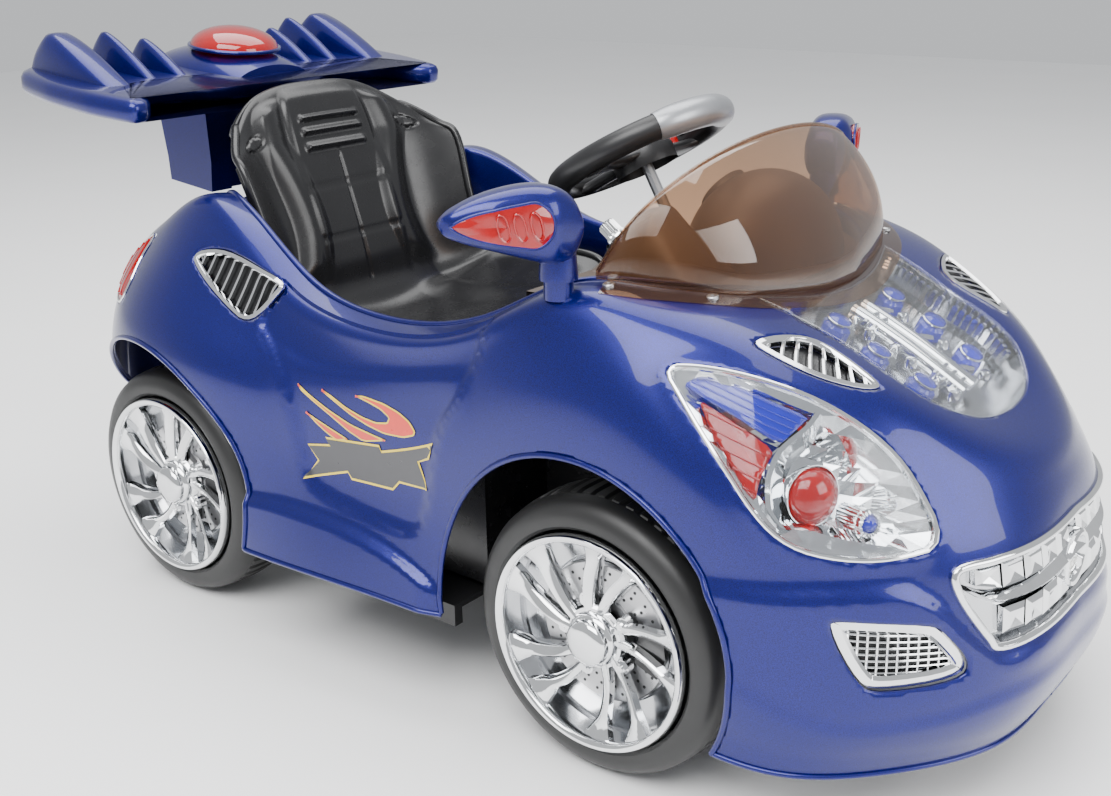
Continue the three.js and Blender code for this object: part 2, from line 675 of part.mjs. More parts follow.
const dashKnob = () =>
  rod(
    KNOB.centre.clone().addScaledVector(KNOB.axis, 3.4), KNOB.centre.clone().addScaledVector(KNOB.axis, 20),
    9, 8, 10,
  );

const SWITCH = { x: 168, y: 108, z: 404.8 };

const directionSwitch = () =>
  side(
    [[-3, -4], [3, -4], [13, 2], [13, 5], [0, 2.5], [-13, 5], [-13, 2]], -8, 8,
  ).translate([SWITCH.x, SWITCH.y, SWITCH.z]);

// ---------- steering ----------

// A round bar bent along points, with flat ends.
function bent(points, r, sides, steps) {
  const section = new THREE.Shape();
  for (let i = 0; i < sides; i++) {
    const angle = (2 * Math.PI * i) / sides;
    section[i ? "lineTo" : "moveTo"](r * Math.cos(angle), r * Math.sin(angle));
  }
  section.closePath();
  const path = new THREE.CatmullRomCurve3(points);
  return solid(new THREE.ExtrudeGeometry(section, { steps, extrudePath: path, bevelEnabled: false }));
}

const GRIP_HALF = THREE.MathUtils.degToRad(41);

// Part of the steering wheel's rim, in the wheel's own frame: its axis is Z and its top is +X.
function rimArc(from, to, r, steps) {
  const count = 16;
  const points = Array.from({ length: count + 1 }, (_, i) => {
    const angle = from + ((to - from) * i) / count;
    return at(STEER_RIM_R * Math.cos(angle), STEER_RIM_R * Math.sin(angle), 0);
  });
  return bent(points, r, 7, steps);
}

const BUTTON_SPOT = 50; // from the wheel's centre, on each side spoke

function steeringWheel() {
  const slack = (7 * GAP) / STEER_RIM_R;
  const rim = rimArc(GRIP_HALF + slack, 2 * Math.PI - GRIP_HALF - slack, STEER_TUBE_R, 16);
  const hub = rod(at(0, 0, -20), at(0, 0, 3), 30, 27, 16);
  const spokes = [block([-14, 14], [-76, 76], [-13, -2]), block([-76, 0], [-12, 12], [-13, -2])];
  const wells = [-1, 1].map(
    (s) => rod(at(0, s * BUTTON_SPOT, -8), at(0, s * BUTTON_SPOT, 5), 8.4, 8.4, 10),
  );
  const shaftHole = rod(at(0, 0, -25), at(0, 0, -8), 6, 6, 10);
  return [...wells, shaftHole].reduce((wheel, hole) => wheel.subtract(hole), join(rim, hub, ...spokes));
}

const wheelGrip = () => rimArc(-GRIP_HALF, GRIP_HALF, STEER_TUBE_R + 2, 6);
const button = (s) => rod(at(0, s * BUTTON_SPOT, -5), at(0, s * BUTTON_SPOT, 9), 8, 7, 10);

function steeringShaft() {
  const LENGTH = 410;
  const shaft = rod(at(0, 0, -LENGTH - 6), at(0, 0, -8 - GAP), 5.6, 5.6, 10);
  const crank = block([-CRANK - 7, 8], [-7, 7], [-LENGTH - 6, -LENGTH]);
  const pin = rod(at(-CRANK, 0, -LENGTH - 32), at(-CRANK, 0, -LENGTH), 3, 3, 8);
  return join(shaft, crank, pin);
}

const ARM_END = { x: FRONT_AXLE_X - STEER_ARM, y: 152 };

// The right-hand stub axle, its kingpin and its steering arm.
function knuckle() {
  const pin = rod(at(FRONT_AXLE_X, -KINGPIN_Y, 98.4), at(FRONT_AXLE_X, -KINGPIN_Y, 147), 5);
  const body = block(
    [FRONT_AXLE_X - 9, FRONT_AXLE_X + 9], [-KINGPIN_Y - 8, -KINGPIN_Y + 8], [114.6, 135.4],
  );
  const stub = rod(at(FRONT_AXLE_X, -KINGPIN_Y, AXLE_Z), at(FRONT_AXLE_X, -WHEEL_Y - 19, AXLE_Z), AXLE_R);
  const arm = plan(
    [
      [ARM_END.x - 6, -ARM_END.y + 6], [ARM_END.x - 6, -ARM_END.y - 6], [FRONT_AXLE_X + 5, -KINGPIN_Y - 7],
      [FRONT_AXLE_X + 5, -KINGPIN_Y + 7],
    ],
    98.4, 104,
  );
  const ball = rod(at(ARM_END.x, -ARM_END.y, 89), at(ARM_END.x, -ARM_END.y, 100), 3);
  return join(pin, body, stub, arm, ball);
}

// The rod between the steering arms; each eye is a slot, long enough for its ball's travel fore and aft.
function tieRod() {
  const EYE = { back: -11, front: 17, half: 10 };
  const SLOT = { back: -7, front: 12, half: 5 };
  const [low, high] = [TIE_Z - 3, TIE_Z + 3];
  const around = ({ back, front, half }, y, z0, z1) =>
    block([ARM_END.x + back, ARM_END.x + front], [y - half, y + half], [z0, z1]);
  const ends = [-ARM_END.y, ARM_END.y];
  const bar = block([ARM_END.x - 5, ARM_END.x + 5], ends, [low, high]);
  const eyes = ends.map((y) => around(EYE, y, low, high));
  const slots = ends.map((y) => around(SLOT, y, low - 1, high + 1));
  const tongue = block([ARM_END.x, 332], [-12, 12], [low, high]);
  const crankSlot = block([304, 327], [-3.6, 3.6], [low - 1, high + 1]);
  return [...slots, crankSlot].reduce((left, cut) => left.subtract(cut), join(bar, tongue, ...eyes));
}

function frontBeam() {
  const beam = block([236, 254], [-150, 150], [108, 142]);
  const ears = [-1, 1].flatMap((s) => {
    const y = [s * 148, s * (KINGPIN_Y + 9)].sort((a, b) => a - b);
    return [block([236, 254], y, [108, 114.2]), block([236, 254], y, [135.8, 142])];
  });
  const bores = [-1, 1].map(
    (s) => rod(at(FRONT_AXLE_X, s * KINGPIN_Y, 100), at(FRONT_AXLE_X, s * KINGPIN_Y, 150), 5 + GAP),
  );
  return bores.reduce((left, cut) => left.subtract(cut), join(beam, ...ears));
}

// ---------- chassis and drive ----------

function chassis() {
  const tray = block(
    [-425, 400], [-100, 100], [75, 105],
  ).subtract(block([-421, 396], [-96, 96], [79, 110]));
  const wings = [-1, 1].flatMap((s) => {
    const deck = [s * 98, s * 236].sort((a, b) => a - b);
    const rail = [s * 226, s * 236].sort((a, b) => a - b);
    return [block([-120, 88], deck, [100, 105]), block([-120, 88], rail, [84, 104])];
  });
  const beamPosts = [-1, 1].map((s) => block([236, 254], [s * 83 - 12, s * 83 + 12], [78, 107.6]));
  const axlePosts = [-1, 1].map((s) => block([-327, -303], [s * 92 - 4, s * 92 + 4], [78, 140]));
  const columnPost = join(
    block([340, 346], [-20, 20], [78, 165]), block([298, 342], [-11, 11], [146, 165]),
  );
  const columnBore = rod(alongColumn(330), alongColumn(430), 5.6 + GAP, 5.6 + GAP, 10);
  const axleBore = rod(at(REAR_AXLE_X, -150, AXLE_Z), at(REAR_AXLE_X, 150, AXLE_Z), AXLE_R + GAP);
  const tieWindow = block([180, 210], [-110, 110], [88, 110]);
  return join(tray, ...wings, ...beamPosts, ...axlePosts, columnPost)
    .subtract(columnBore).subtract(axleBore).subtract(tieWindow);
}

const rearAxle = () => rod(
  at(REAR_AXLE_X, -WHEEL_Y - 19, AXLE_Z), at(REAR_AXLE_X, WHEEL_Y + 19, AXLE_Z), AXLE_R,
);

function gearbox() {
  const box = block([-348, -262], [-156, -110], [92, 160]);
  return box.subtract(rod(at(REAR_AXLE_X, -170, AXLE_Z), at(REAR_AXLE_X, -100, AXLE_Z), AXLE_R + GAP));
}

const motor = () => rod(at(-280, -110 + GAP, 136), at(-280, -46, 136), 15, 15, 14);
const battery = () => block([-240, -150], [-35, 35], [79.4, 180]);
const controlBox = () => block([-132, -90], [-48, 48], [79.4, 106]);

// ---------- wheels ----------

// Blow-moulded wheel with a plastic tread; profile points are [radius, distance out from its middle].
const TYRE_PROFILE = [
  [AXLE_R + GAP, -5], [90, -5], [96, -TYRE_HALF], [113, -TYRE_HALF], [122, -33], [TYRE_R, -20],
  [TYRE_R, 24], [121, 34], [112, TYRE_HALF], [RIM_R + 3, TYRE_HALF], [RIM_R + 3, 8], [AXLE_R + GAP, 8],
];
const HUBCAP_PROFILE = [
  [0, 22], [20, 22], [20, 9], [RIM_R, 9], [RIM_R + 0.5, 44], [93, 46], [88, 44], [85, 22], [30, 19],
  [27, 41], [0, 47],
];

function hubcap() {
  const spokes = Array.from({ length: 10 }, (_, i) => {
    const angle = THREE.MathUtils.degToRad(36 * i + (i % 2 ? -5 : 5));
    const bar = new THREE.BoxGeometry(64, 16, 8).translate(57, 27, 0);
    return solid(bar.rotateY(angle));
  });
  return join(turned(HUBCAP_PROFILE, 20), ...spokes);
}

// ---------- mirrors ----------

// The right-hand mirror in its own frame: its post is the Z axis and its tip points out, towards -Y.
const MIRROR_PLAN = [
  [20, 14], [26, -10], [20, -58], [8, -88], [-6, -96], [-18, -86], [-25, -30], [-20, 10], [0, 18],
];
const MIRROR_FRONT = [
  [15, 445], [17, 474], [6, 492], [-20, 499], [-60, 494], [-92, 480], [-97, 470], [-88, 460], [-40, 444],
  [0, 431],
];
const INDICATOR = [[26.5, -14], [21, -59], [9, -87], [7, -84.5], [17.5, -57], [22.5, -14]];
const INDICATOR_FRONT = [[-14, 452], [-14, 487], [-50, 486], [-88, 476], [-88, 467], [-50, 455]];

// An outline in front view, [y, z] points, from x0 to x1.
function front(outline, x0, x1) {
  const shape = new THREE.Shape(outline.map(([y, z]) => new THREE.Vector2(y, z)));
  const slab = new THREE.ExtrudeGeometry(shape, { depth: x1 - x0, bevelEnabled: false });
  slab.applyMatrix4(new THREE.Matrix4().makeBasis(at(0, 1, 0), at(0, 0, 1), at(1, 0, 0)));
  return solid(slab.translate(x0, 0, 0));
}

const prism = (top, face, grow) => plan(
  inset(top, -grow), 400, 520,
).intersect(front(inset(face, -grow), -60, 60));

function mirrorHousing() {
  const foot = rod(at(0, 0, 405), at(0, 0, 445), 12.3, 12.3, 14);
  const collar = rod(at(0, 0, MIRROR_POST.z + GAP), at(0, 0, 445), 16, 14, 14);
  return join(
    prism(MIRROR_PLAN, MIRROR_FRONT, 0), foot, collar,
  ).subtract(prism(INDICATOR, INDICATOR_FRONT, GAP));
}

const mirrorIndicator = () => prism(INDICATOR, INDICATOR_FRONT, 0);

// ---------- spoiler ----------

const WING = { x: -345, z: 501, thick: 24, tilt: THREE.MathUtils.degToRad(5.8) };
const WING_PLAN = [
  [-40, 0], [-40, -66], [-63, -112], [-59, -170], [-8, -190], [8, -206], [6, -224], [-55, -237],
  [-125, -237], [-190, -226], [-214, -205], [-214, -170], [-202, -120], [-190, -66], [-190, 0],
];
const LAMP_BASE = { x: -110, z: 46 };

// The wing, its six fins and the lamp housing, in the wing's own frame.
function spoilerWing() {
  const { thick } = WING;
  const wing = plan(bothSides(WING_PLAN), 0, thick);
  const fins = [
    { y: 186, half: 22, back: -208, front: -62, tall: 42 },
    { y: 132, half: 8, back: -196, front: -80, tall: 40 },
    { y: 92, half: 8, back: -178, front: -80, tall: 32 },
  ].map(({ y, half, back, front, tall }) => {
    const outline = [
      [back, thick - 2], [front, thick - 2], [front - 4, thick + 4], [back + 38, thick + tall],
      [back + 14, thick + tall - 4],
    ];
    return side(outline, -y - half, -y + half);
  });
  const hood = rod(
    at(-188, 0, -20), at(-42, 0, -20), 66, 66, 20,
  ).intersect(block([-190, -40], [-70, 70], [2, 45.6]));
  return join(wing, hood, ...fins, ...fins.map(flipY));
}

function spoilerLamp() {
  const dome = new THREE.SphereGeometry(1, 16, 8).scale(52, 50, 24).translate(LAMP_BASE.x, 0, LAMP_BASE.z);
  return solid(dome).intersect(block([-200, -20], [-80, 80], [LAMP_BASE.z, 90]));
}

// The two posts and the panel between them that carry the wing above the rear deck.
function spoilerStand() {
  const posts = [-88, 60].map(
    (y) => side([[-468, 300], [-412, 300], [-398, 440], [-400, 495], [-486, 503], [-476, 440]], y, y + 28),
  );
  const panel = side([[-436, 300], [-420, 300], [-404, 440], [-406, 495], [-420, 496]], -62, 62);
  const tilted = block([-300, 100], [-300, 300], [-100, -GAP]).rotate([
    0, THREE.MathUtils.radToDeg(WING.tilt), 0,
  ]);
  return join(...posts, panel).intersect(tilted.translate([WING.x, 0, WING.z])).subtract(skin(-GAP));
}

// ---------- assembly ----------

const car = new THREE.Group();

function place(name, body, material, parent = car) {
  const mesh = new THREE.Mesh(geometryOf(body), material);
  mesh.name = name;
  parent.add(mesh);
  return mesh;
}

// A piece made for the car's right side, and its mirror image on the left.
function pair(name, body, material) {
  place(`${name}_right`, body, material);
  place(`${name}_left`, flipY(body), material);
}

place("body_shell", bodyShell(), BLUE);
place("chassis", chassis(), BLACK);
place("cockpit_tub", cockpitTub(), BLACK);
place("seat", seat(), BLACK);
place("dashboard", dashboard(), GREY);
place("windscreen", windscreen(), BRONZE);
place("engine_cover", engineCover(), CLEAR);
place("engine_block", engineBlock(), CHROME);
pair("engine_caps", engineCaps(), BLUE_CLEAR);
pair("hood_vent", insert(HOOD_VENT, -1, 3), CHROME);
pair("shoulder_vent", insert(SHOULDER_VENT, -1, 3), CHROME);
pair("fog_grille", insert(FOG_GRILLE, -1, 3), CHROME);
pair("tail_light", insert(TAIL_LIGHT, -3, 3), RED);
pair("headlight_lens", insert(HEADLIGHT, -2, 1), CLEAR);
pair("headlight_bowl", headlightBowl(), CHROME);
pair("headlight_lamp", headlightLamp(), RED);
place("front_grille", frontGrille(), CHROME);
place("grille_badge", grilleBadge(), CHROME);
place("front_beam", frontBeam(), BLACK);
place("rear_axle", rearAxle(), STEEL);
pair("gearbox", gearbox(), BLACK);
pair("motor", motor(), STEEL);
place("battery", battery(), GREY);
place("control_box", controlBox(), GREY);
place("pedal", pedal(), SILVER);
place("dash_knob", dashKnob(), CHROME);
place("direction_switch", directionSwitch(), RED);
pair("knuckle", knuckle(), STEEL);
place("tie_rod", tieRod(), STEEL);
place("spoiler_stand", spoilerStand(), BLUE);

for (const [name, outward] of [["right", -1], ["left", 1]]) {
  const mirror = new THREE.Group();
  mirror.position.set(MIRROR_POST.x, outward * MIRROR_POST.y, 0);
  mirror.rotation.z = outward * THREE.MathUtils.degToRad(MIRROR_SWEEP[name]);
  car.add(mirror);
  const handed = outward < 0 ? (body) => body : flipY;
  place(`mirror_housing_${name}`, handed(mirrorHousing()), BLUE, mirror);
  place(`mirror_indicator_${name}`, handed(mirrorIndicator()), RED, mirror);
}

const column = new THREE.Group();
column.position.copy(STEER_CENTRE);
column.rotation.y = -COLUMN_TILT;
car.add(column);
place("steering_wheel", steeringWheel(), BLACK, column);
place("wheel_grip", wheelGrip(), SILVER, column);
place("steering_shaft", steeringShaft(), STEEL, column);
place("horn_button", button(1), BLACK, column);
place("music_button", button(-1), BLACK, column);

const wing = new THREE.Group();
wing.position.set(WING.x, 0, WING.z);
wing.rotation.y = WING.tilt;
car.add(wing);
place("spoiler_wing", spoilerWing(), BLUE, wing);
place("spoiler_lamp", spoilerLamp(), RED, wing);

for (const [axle, x] of [["front", FRONT_AXLE_X], ["rear", REAR_AXLE_X]])
  for (const [name, outward] of [["right", -1], ["left", 1]]) {
    const wheel = new THREE.Group();
    wheel.position.set(x, outward * WHEEL_Y, AXLE_Z);
    wheel.rotation.z = outward < 0 ? Math.PI : 0;
    car.add(wheel);
    place(`${axle}_tyre_${name}`, turned(TYRE_PROFILE), BLACK, wheel);
    place(`${axle}_hubcap_${name}`, hubcap(), CHROME, wheel);
  }

export default car;
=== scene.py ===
import math

import bmesh
import bpy
import numpy as np
from mathutils import Matrix, Vector
from mathutils.geometry import delaunay_2d_cdt


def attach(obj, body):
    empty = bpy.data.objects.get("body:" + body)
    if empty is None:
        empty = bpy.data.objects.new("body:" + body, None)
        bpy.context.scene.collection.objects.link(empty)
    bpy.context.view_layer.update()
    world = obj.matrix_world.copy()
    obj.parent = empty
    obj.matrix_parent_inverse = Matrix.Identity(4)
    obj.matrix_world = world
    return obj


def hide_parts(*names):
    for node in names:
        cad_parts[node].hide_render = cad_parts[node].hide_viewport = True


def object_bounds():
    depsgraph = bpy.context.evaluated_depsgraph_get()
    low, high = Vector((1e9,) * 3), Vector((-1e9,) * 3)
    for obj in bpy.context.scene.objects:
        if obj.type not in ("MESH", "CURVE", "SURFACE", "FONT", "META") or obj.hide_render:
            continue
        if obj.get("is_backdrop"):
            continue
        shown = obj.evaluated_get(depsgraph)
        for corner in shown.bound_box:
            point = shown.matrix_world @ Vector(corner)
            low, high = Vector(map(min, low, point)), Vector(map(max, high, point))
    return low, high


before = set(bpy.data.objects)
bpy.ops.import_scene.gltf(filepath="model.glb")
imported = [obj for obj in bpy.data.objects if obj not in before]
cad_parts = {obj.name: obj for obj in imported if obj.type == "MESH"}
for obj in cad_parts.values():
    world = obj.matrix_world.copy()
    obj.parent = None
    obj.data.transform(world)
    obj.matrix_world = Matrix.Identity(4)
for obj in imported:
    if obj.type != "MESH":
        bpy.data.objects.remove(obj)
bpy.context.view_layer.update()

# Shapes are worked out in millimetres, on the car's right side (y below 0), and scaled to metres last.
MM = 0.001
RIGHT, LEFT = -1, 1
SIDES = {"right": RIGHT, "left": LEFT}
WALL = 3.5
AXLE = {"front": (245, 205, 125), "rear": (-315, 205, 125)}


def around(count):
    """Evenly spaced angles of a full turn."""
    return np.linspace(0, 2 * math.pi, count, endpoint=False)


def signed_power(value, power):
    return math.copysign(abs(value) ** power, value)


# ---------- materials ----------


def new_material(name):
    material = bpy.data.materials.new(name)
    material.use_nodes = True
    tree = material.node_tree
    return material, tree, tree.nodes["Principled BSDF"]


def add_node(tree, kind, **values):
    node = tree.nodes.new(kind)
    for key, value in values.items():
        if key in node.inputs:
            node.inputs[key].default_value = value
        else:
            setattr(node, key, value)
    return node


def object_coordinates(tree):
    return add_node(tree, "ShaderNodeTexCoord").outputs["Object"]


def noise(tree, scale, detail=3.0, roughness=0.5):
    node = add_node(tree, "ShaderNodeTexNoise", Scale=scale, Detail=detail, Roughness=roughness)
    tree.links.new(object_coordinates(tree), node.inputs["Vector"])
    return node.outputs["Fac"]


def spread(tree, source, low, high, start=0.0, end=1.0):
    node = add_node(tree, "ShaderNodeMapRange")
    for socket, value in (("From Min", start), ("From Max", end), ("To Min", low), ("To Max", high)):
        node.inputs[socket].default_value = value
    tree.links.new(source, node.inputs["Value"])
    return node.outputs["Result"]


def bump(tree, shader, height, strength, distance, socket="Normal"):
    node = add_node(tree, "ShaderNodeBump", Strength=strength, Distance=distance)
    tree.links.new(height, node.inputs["Height"])
    tree.links.new(node.outputs["Normal"], shader.inputs[socket])


def ramp(tree, source, *stops):
    node = add_node(tree, "ShaderNodeValToRGB")
    while len(node.color_ramp.elements) < len(stops):
        node.color_ramp.elements.new(0.5)
    for element, (position, color) in zip(node.color_ramp.elements, stops):
        element.position = position
        element.color = (*color, 1)
    tree.links.new(source, node.inputs["Fac"])
    return node.outputs["Color"]


def shaded(color, share):
    return tuple(share * c for c in color)


def mottled(tree, socket, scale, low, high, *colors):
    """Link a socket to a colour that drifts between two, from one noise level to another."""
    tree.links.new(ramp(tree, noise(tree, scale), (low, colors[0]), (high, colors[1])), socket)


def uneven_gloss(tree, shader, scale, low, high):
    tree.links.new(spread(tree, noise(tree, scale), low, high), shader.inputs["Roughness"])


def car_paint():
    """Deep blue with fine metal flake under a clear coat."""
    material, tree, shader = new_material("blue_metallic")
    flakes = noise(tree, 1400, 1.0)
    color = ramp(tree, flakes, (0.35, (0.0006, 0.0016, 0.075)), (0.75, (0.0018, 0.005, 0.2)))
    tree.links.new(color, shader.inputs["Base Color"])
    uneven_gloss(tree, shader, 300, 0.26, 0.36)
    shader.inputs["Metallic"].default_value = 0.6
    shader.inputs["Coat Weight"].default_value = 0.75
    shader.inputs["Coat Roughness"].default_value = 0.03
    shader.inputs["Coat IOR"].default_value = 1.36
    bump(tree, shader, flakes, 0.12, 0.0002)
    bump(tree, shader, noise(tree, 9), 0.12, 0.002, "Coat Normal")
    return material


def plastic(name, color, rough, grain=0.08, grain_scale=900, metallic=0.0):
    """Moulded plastic with a fine grain and slightly uneven gloss."""
    material, tree, shader = new_material(name)
    mottled(tree, shader.inputs["Base Color"], 25, 0.3, 0.7, shaded(color, 0.82), color)
    uneven_gloss(tree, shader, 60, 0.85 * rough, 1.2 * rough)
    shader.inputs["Metallic"].default_value = metallic
    bump(tree, shader, noise(tree, grain_scale, 2.0), grain, 0.0004)
    return material


def bright_metal(name, color, rough, waviness=0.1):
    """Vacuum-metallised plastic: a mirror finish with the slight waves of moulding."""
    material, tree, shader = new_material(name)
    shader.inputs["Metallic"].default_value = 1.0
    mottled(tree, shader.inputs["Base Color"], 30, 0.35, 0.65, shaded(color, 0.9), color)
    uneven_gloss(tree, shader, 120, 0.7 * rough, 1.4 * rough)
    bump(tree, shader, noise(tree, 45), waviness, 0.001)
    return material


def see_through(name, tint, facing, body, rough=0.03, body_color=(1, 1, 1)):
    """Thin clear or tinted plastic: see-through face on, more of a mirror at a slant, a little milky."""
    material, tree, shader = new_material(name)
    output = tree.nodes["Material Output"]
    clear = add_node(tree, "ShaderNodeBsdfTransparent")
    mottled(tree, clear.inputs["Color"], 12, 0.3, 0.7, tint, shaded(tint, 0.96))
    shader.inputs["Base Color"].default_value = (*body_color, 1)
    uneven_gloss(tree, shader, 80, 0.7 * rough, 1.3 * rough)
    shader.inputs["Coat Weight"].default_value = 1.0
    shader.inputs["Coat Roughness"].default_value = 0.02
    gloss = add_node(tree, "ShaderNodeBsdfGlossy", Color=(1, 1, 1, 1), Roughness=rough)
    slant = add_node(tree, "ShaderNodeLayerWeight", Blend=facing)
    mirror = add_node(tree, "ShaderNodeMixShader")
    tree.links.new(slant.outputs["Facing"], mirror.inputs["Fac"])
    milky = add_node(tree, "ShaderNodeMixShader", Fac=body)
    tree.links.new(clear.outputs[0], milky.inputs[1])
    tree.links.new(shader.outputs[0], milky.inputs[2])
    tree.links.new(milky.outputs[0], mirror.inputs[1])
    tree.links.new(gloss.outputs[0], mirror.inputs[2])
    tree.links.new(mirror.outputs[0], output.inputs["Surface"])
    return material


def paint_flat(name, color, rough=0.3):
    """Printed film under the same gloss as the body."""
    material, tree, shader = new_material(name)
    mottled(tree, shader.inputs["Base Color"], 90, 0.3, 0.7, shaded(color, 0.9), color)
    uneven_gloss(tree, shader, 150, 0.8 * rough, 1.2 * rough)
    shader.inputs["Coat Weight"].default_value = 0.6
    return material


PAINT = car_paint()
BLACK = plastic("black_satin", (0.012, 0.012, 0.013), 0.36)
BLACK_FINE = plastic("black_gloss", (0.01, 0.01, 0.011), 0.26, grain=0.03)
TREAD_RUBBER = plastic("tread_black", (0.014, 0.014, 0.014), 0.42, grain=0.15, grain_scale=500)
CHROME = bright_metal("chrome_plastic", (0.88, 0.89, 0.9), 0.06)
# A darker, rougher copy of the same chrome plastic, with painted shade for where it lies in recesses: the
# grille's back, the engine bay's tray and walls, the wheels' barrels.
CHROME_PAINTED_SHADE = bright_metal("chrome_shaded", (0.62, 0.63, 0.65), 0.16)
STEEL = bright_metal("zinc_steel", (0.55, 0.55, 0.56), 0.3)
SILVER = plastic("silver_satin", (0.38, 0.39, 0.41), 0.34, grain=0.05, metallic=0.7)
GREY = plastic("grey_plain", (0.12, 0.12, 0.125), 0.5)
CLEAR = see_through("clear_cover", (0.95, 0.96, 0.97), facing=0.07, body=0.005)
BRONZE = see_through(
    "bronze_screen", (0.66, 0.5, 0.38), facing=0.1, body=0.08, body_color=(0.22, 0.12, 0.06),
)
RED = see_through(
    "red_lens", (0.7, 0.01, 0.01), facing=0.05, rough=0.05, body=0.6, body_color=(0.5, 0.001, 0.003),
)
BLUE_CLEAR = see_through(
    "blue_lens", (0.02, 0.04, 0.8), facing=0.05, rough=0.05, body=0.6, body_color=(0.003, 0.01, 0.6),
)
WHITE_DIM = plastic("pearl_disc", (0.75, 0.74, 0.7), 0.25, grain=0.02)
DASH = plastic("dash_brown", (0.1, 0.075, 0.06), 0.42)
YELLOW = paint_flat("decal_yellow", (0.85, 0.62, 0.02))
RED_PAINT = paint_flat("decal_red", (0.75, 0.03, 0.01))
DARK_PAINT = paint_flat("decal_dark", (0.03, 0.03, 0.035))


# ---------- the body's surface ----------

# Each feature line runs from the middle of the tail, round the car's right side, to the middle of the nose.
# Its points are [x, distance from the middle plane, z]; every line has one at each of sixteen stations.
FEATURE_LINES = {
    "spine": [
        [-385, 0, 400], [-378, 0, 402], [-355, 0, 408], [-305, 0, 418], [-245, 0, 425], [-160, 0, 402],
        [-88, 0, 372], [10, 0, 362], [108, 0, 382], [182, 0, 412], [238, 0, 414], [282, 0, 406],
        [322, 0, 396], [355, 0, 384], [385, 0, 370], [398, 0, 364],
    ],
    "mid": [
        [-415, 0, 388], [-405, 60, 390], [-375, 100, 396], [-315, 122, 412], [-250, 130, 428],
        [-160, 140, 400], [-90, 150, 368], [10, 150, 358], [110, 148, 378], [188, 138, 412],
        [250, 125, 414], [305, 112, 404], [355, 96, 386], [400, 70, 364], [430, 36, 346], [443, 0, 338],
    ],
    "crest": [
        [-440, 0, 370], [-430, 90, 373], [-398, 150, 384], [-332, 185, 408], [-255, 198, 434],
        [-165, 212, 393], [-92, 222, 358], [10, 227, 348], [110, 227, 368], [190, 216, 408],
        [262, 196, 410], [325, 180, 396], [385, 155, 372], [437, 118, 350], [475, 62, 322], [488, 0, 312],
    ],
    "shoulder": [
        [-458, 0, 342], [-450, 100, 344], [-422, 172, 356], [-347, 212, 378], [-262, 222, 400],
        [-175, 230, 368], [-95, 236, 340], [12, 238, 332], [110, 238, 350], [192, 235, 384],
        [268, 224, 390], [335, 210, 374], [402, 182, 346], [460, 138, 322], [505, 75, 300], [522, 0, 290],
    ],
    "belt": [
        [-466, 0, 310], [-458, 110, 312], [-432, 190, 320], [-358, 240, 334], [-272, 256, 345],
        [-182, 254, 328], [-97, 246, 310], [14, 242, 302], [110, 243, 315], [193, 246, 342],
        [268, 245, 352], [340, 236, 335], [412, 208, 306], [472, 156, 285], [520, 87, 272], [535, 0, 268],
    ],
    "widest": [
        [-470, 0, 272], [-462, 115, 272], [-438, 200, 275], [-368, 255, 283], [-282, 277, 292],
        [-190, 277, 285], [-98, 258, 268], [15, 248, 262], [110, 248, 268], [194, 252, 292],
        [268, 254, 298], [344, 252, 288], [422, 230, 262], [487, 173, 240], [539, 92, 228], [550, 0, 227],
    ],
    "lower": [
        [-470, 0, 225], [-462, 117, 225], [-438, 204, 225], [-370, 258, 225], [-285, 277, 225],
        [-193, 276, 222], [-98, 258, 215], [15, 248, 210], [110, 248, 210], [194, 251, 220],
        [268, 253, 222], [345, 254, 210], [425, 236, 185], [493, 179, 172], [547, 95, 167], [556, 0, 166],
    ],
    "sill": [
        [-465, 0, 185], [-457, 118, 185], [-434, 205, 185], [-368, 258, 180], [-285, 276, 165],
        [-193, 275, 160], [-98, 266, 158], [15, 258, 155], [110, 252, 150], [194, 250, 150],
        [268, 253, 145], [345, 254, 132], [425, 237, 115], [493, 180, 108], [547, 96, 105], [555, 0, 104],
    ],
    "bottom": [
        [-455, 0, 160], [-448, 117, 160], [-425, 203, 158], [-362, 255, 140], [-285, 272, 115],
        [-193, 275, 110], [-98, 276, 110], [15, 268, 110], [110, 256, 105], [194, 248, 100],
        [268, 250, 90], [345, 251, 76], [420, 233, 66], [484, 176, 64], [535, 94, 66], [543, 0, 68],
    ],
}
STATIONS, LINES = 16, 9
INTERPOLATION_PASSES = 6
MIRROR_Y = np.array([1.0, -1.0, 1.0])


def widened(net):
    """The net with one more station and line all round: mirrored at the middle, straight on below."""
    above = net[:, 1:2] * MIRROR_Y
    below = 2 * net[:, -1:] - net[:, -2:-1]
    wide = np.concatenate([above, net, below], axis=1)
    return np.concatenate([wide[1:2] * MIRROR_Y, wide, wide[-2:-1] * MIRROR_Y], axis=0)


def control_net():
    """Control points whose cubic B-spline surface passes through the feature lines' own points."""
    points = np.array([FEATURE_LINES[name] for name in FEATURE_LINES], float).transpose(1, 0, 2)
    net = points.copy()
    for _ in range(INTERPOLATION_PASSES):
        wide = widened(net)
        reached = (wide[:-2] + 4 * wide[1:-1] + wide[2:]) / 6
        reached = (reached[:, :-2] + 4 * reached[:, 1:-1] + reached[:, 2:]) / 6
        net = net + points - reached
    return widened(net)


NET = control_net()


def cubic_weights(t):
    return np.array([(1 - t) ** 3, 3 * t**3 - 6 * t**2 + 4, -3 * t**3 + 3 * t**2 + 3 * t + 1, t**3]) / 6


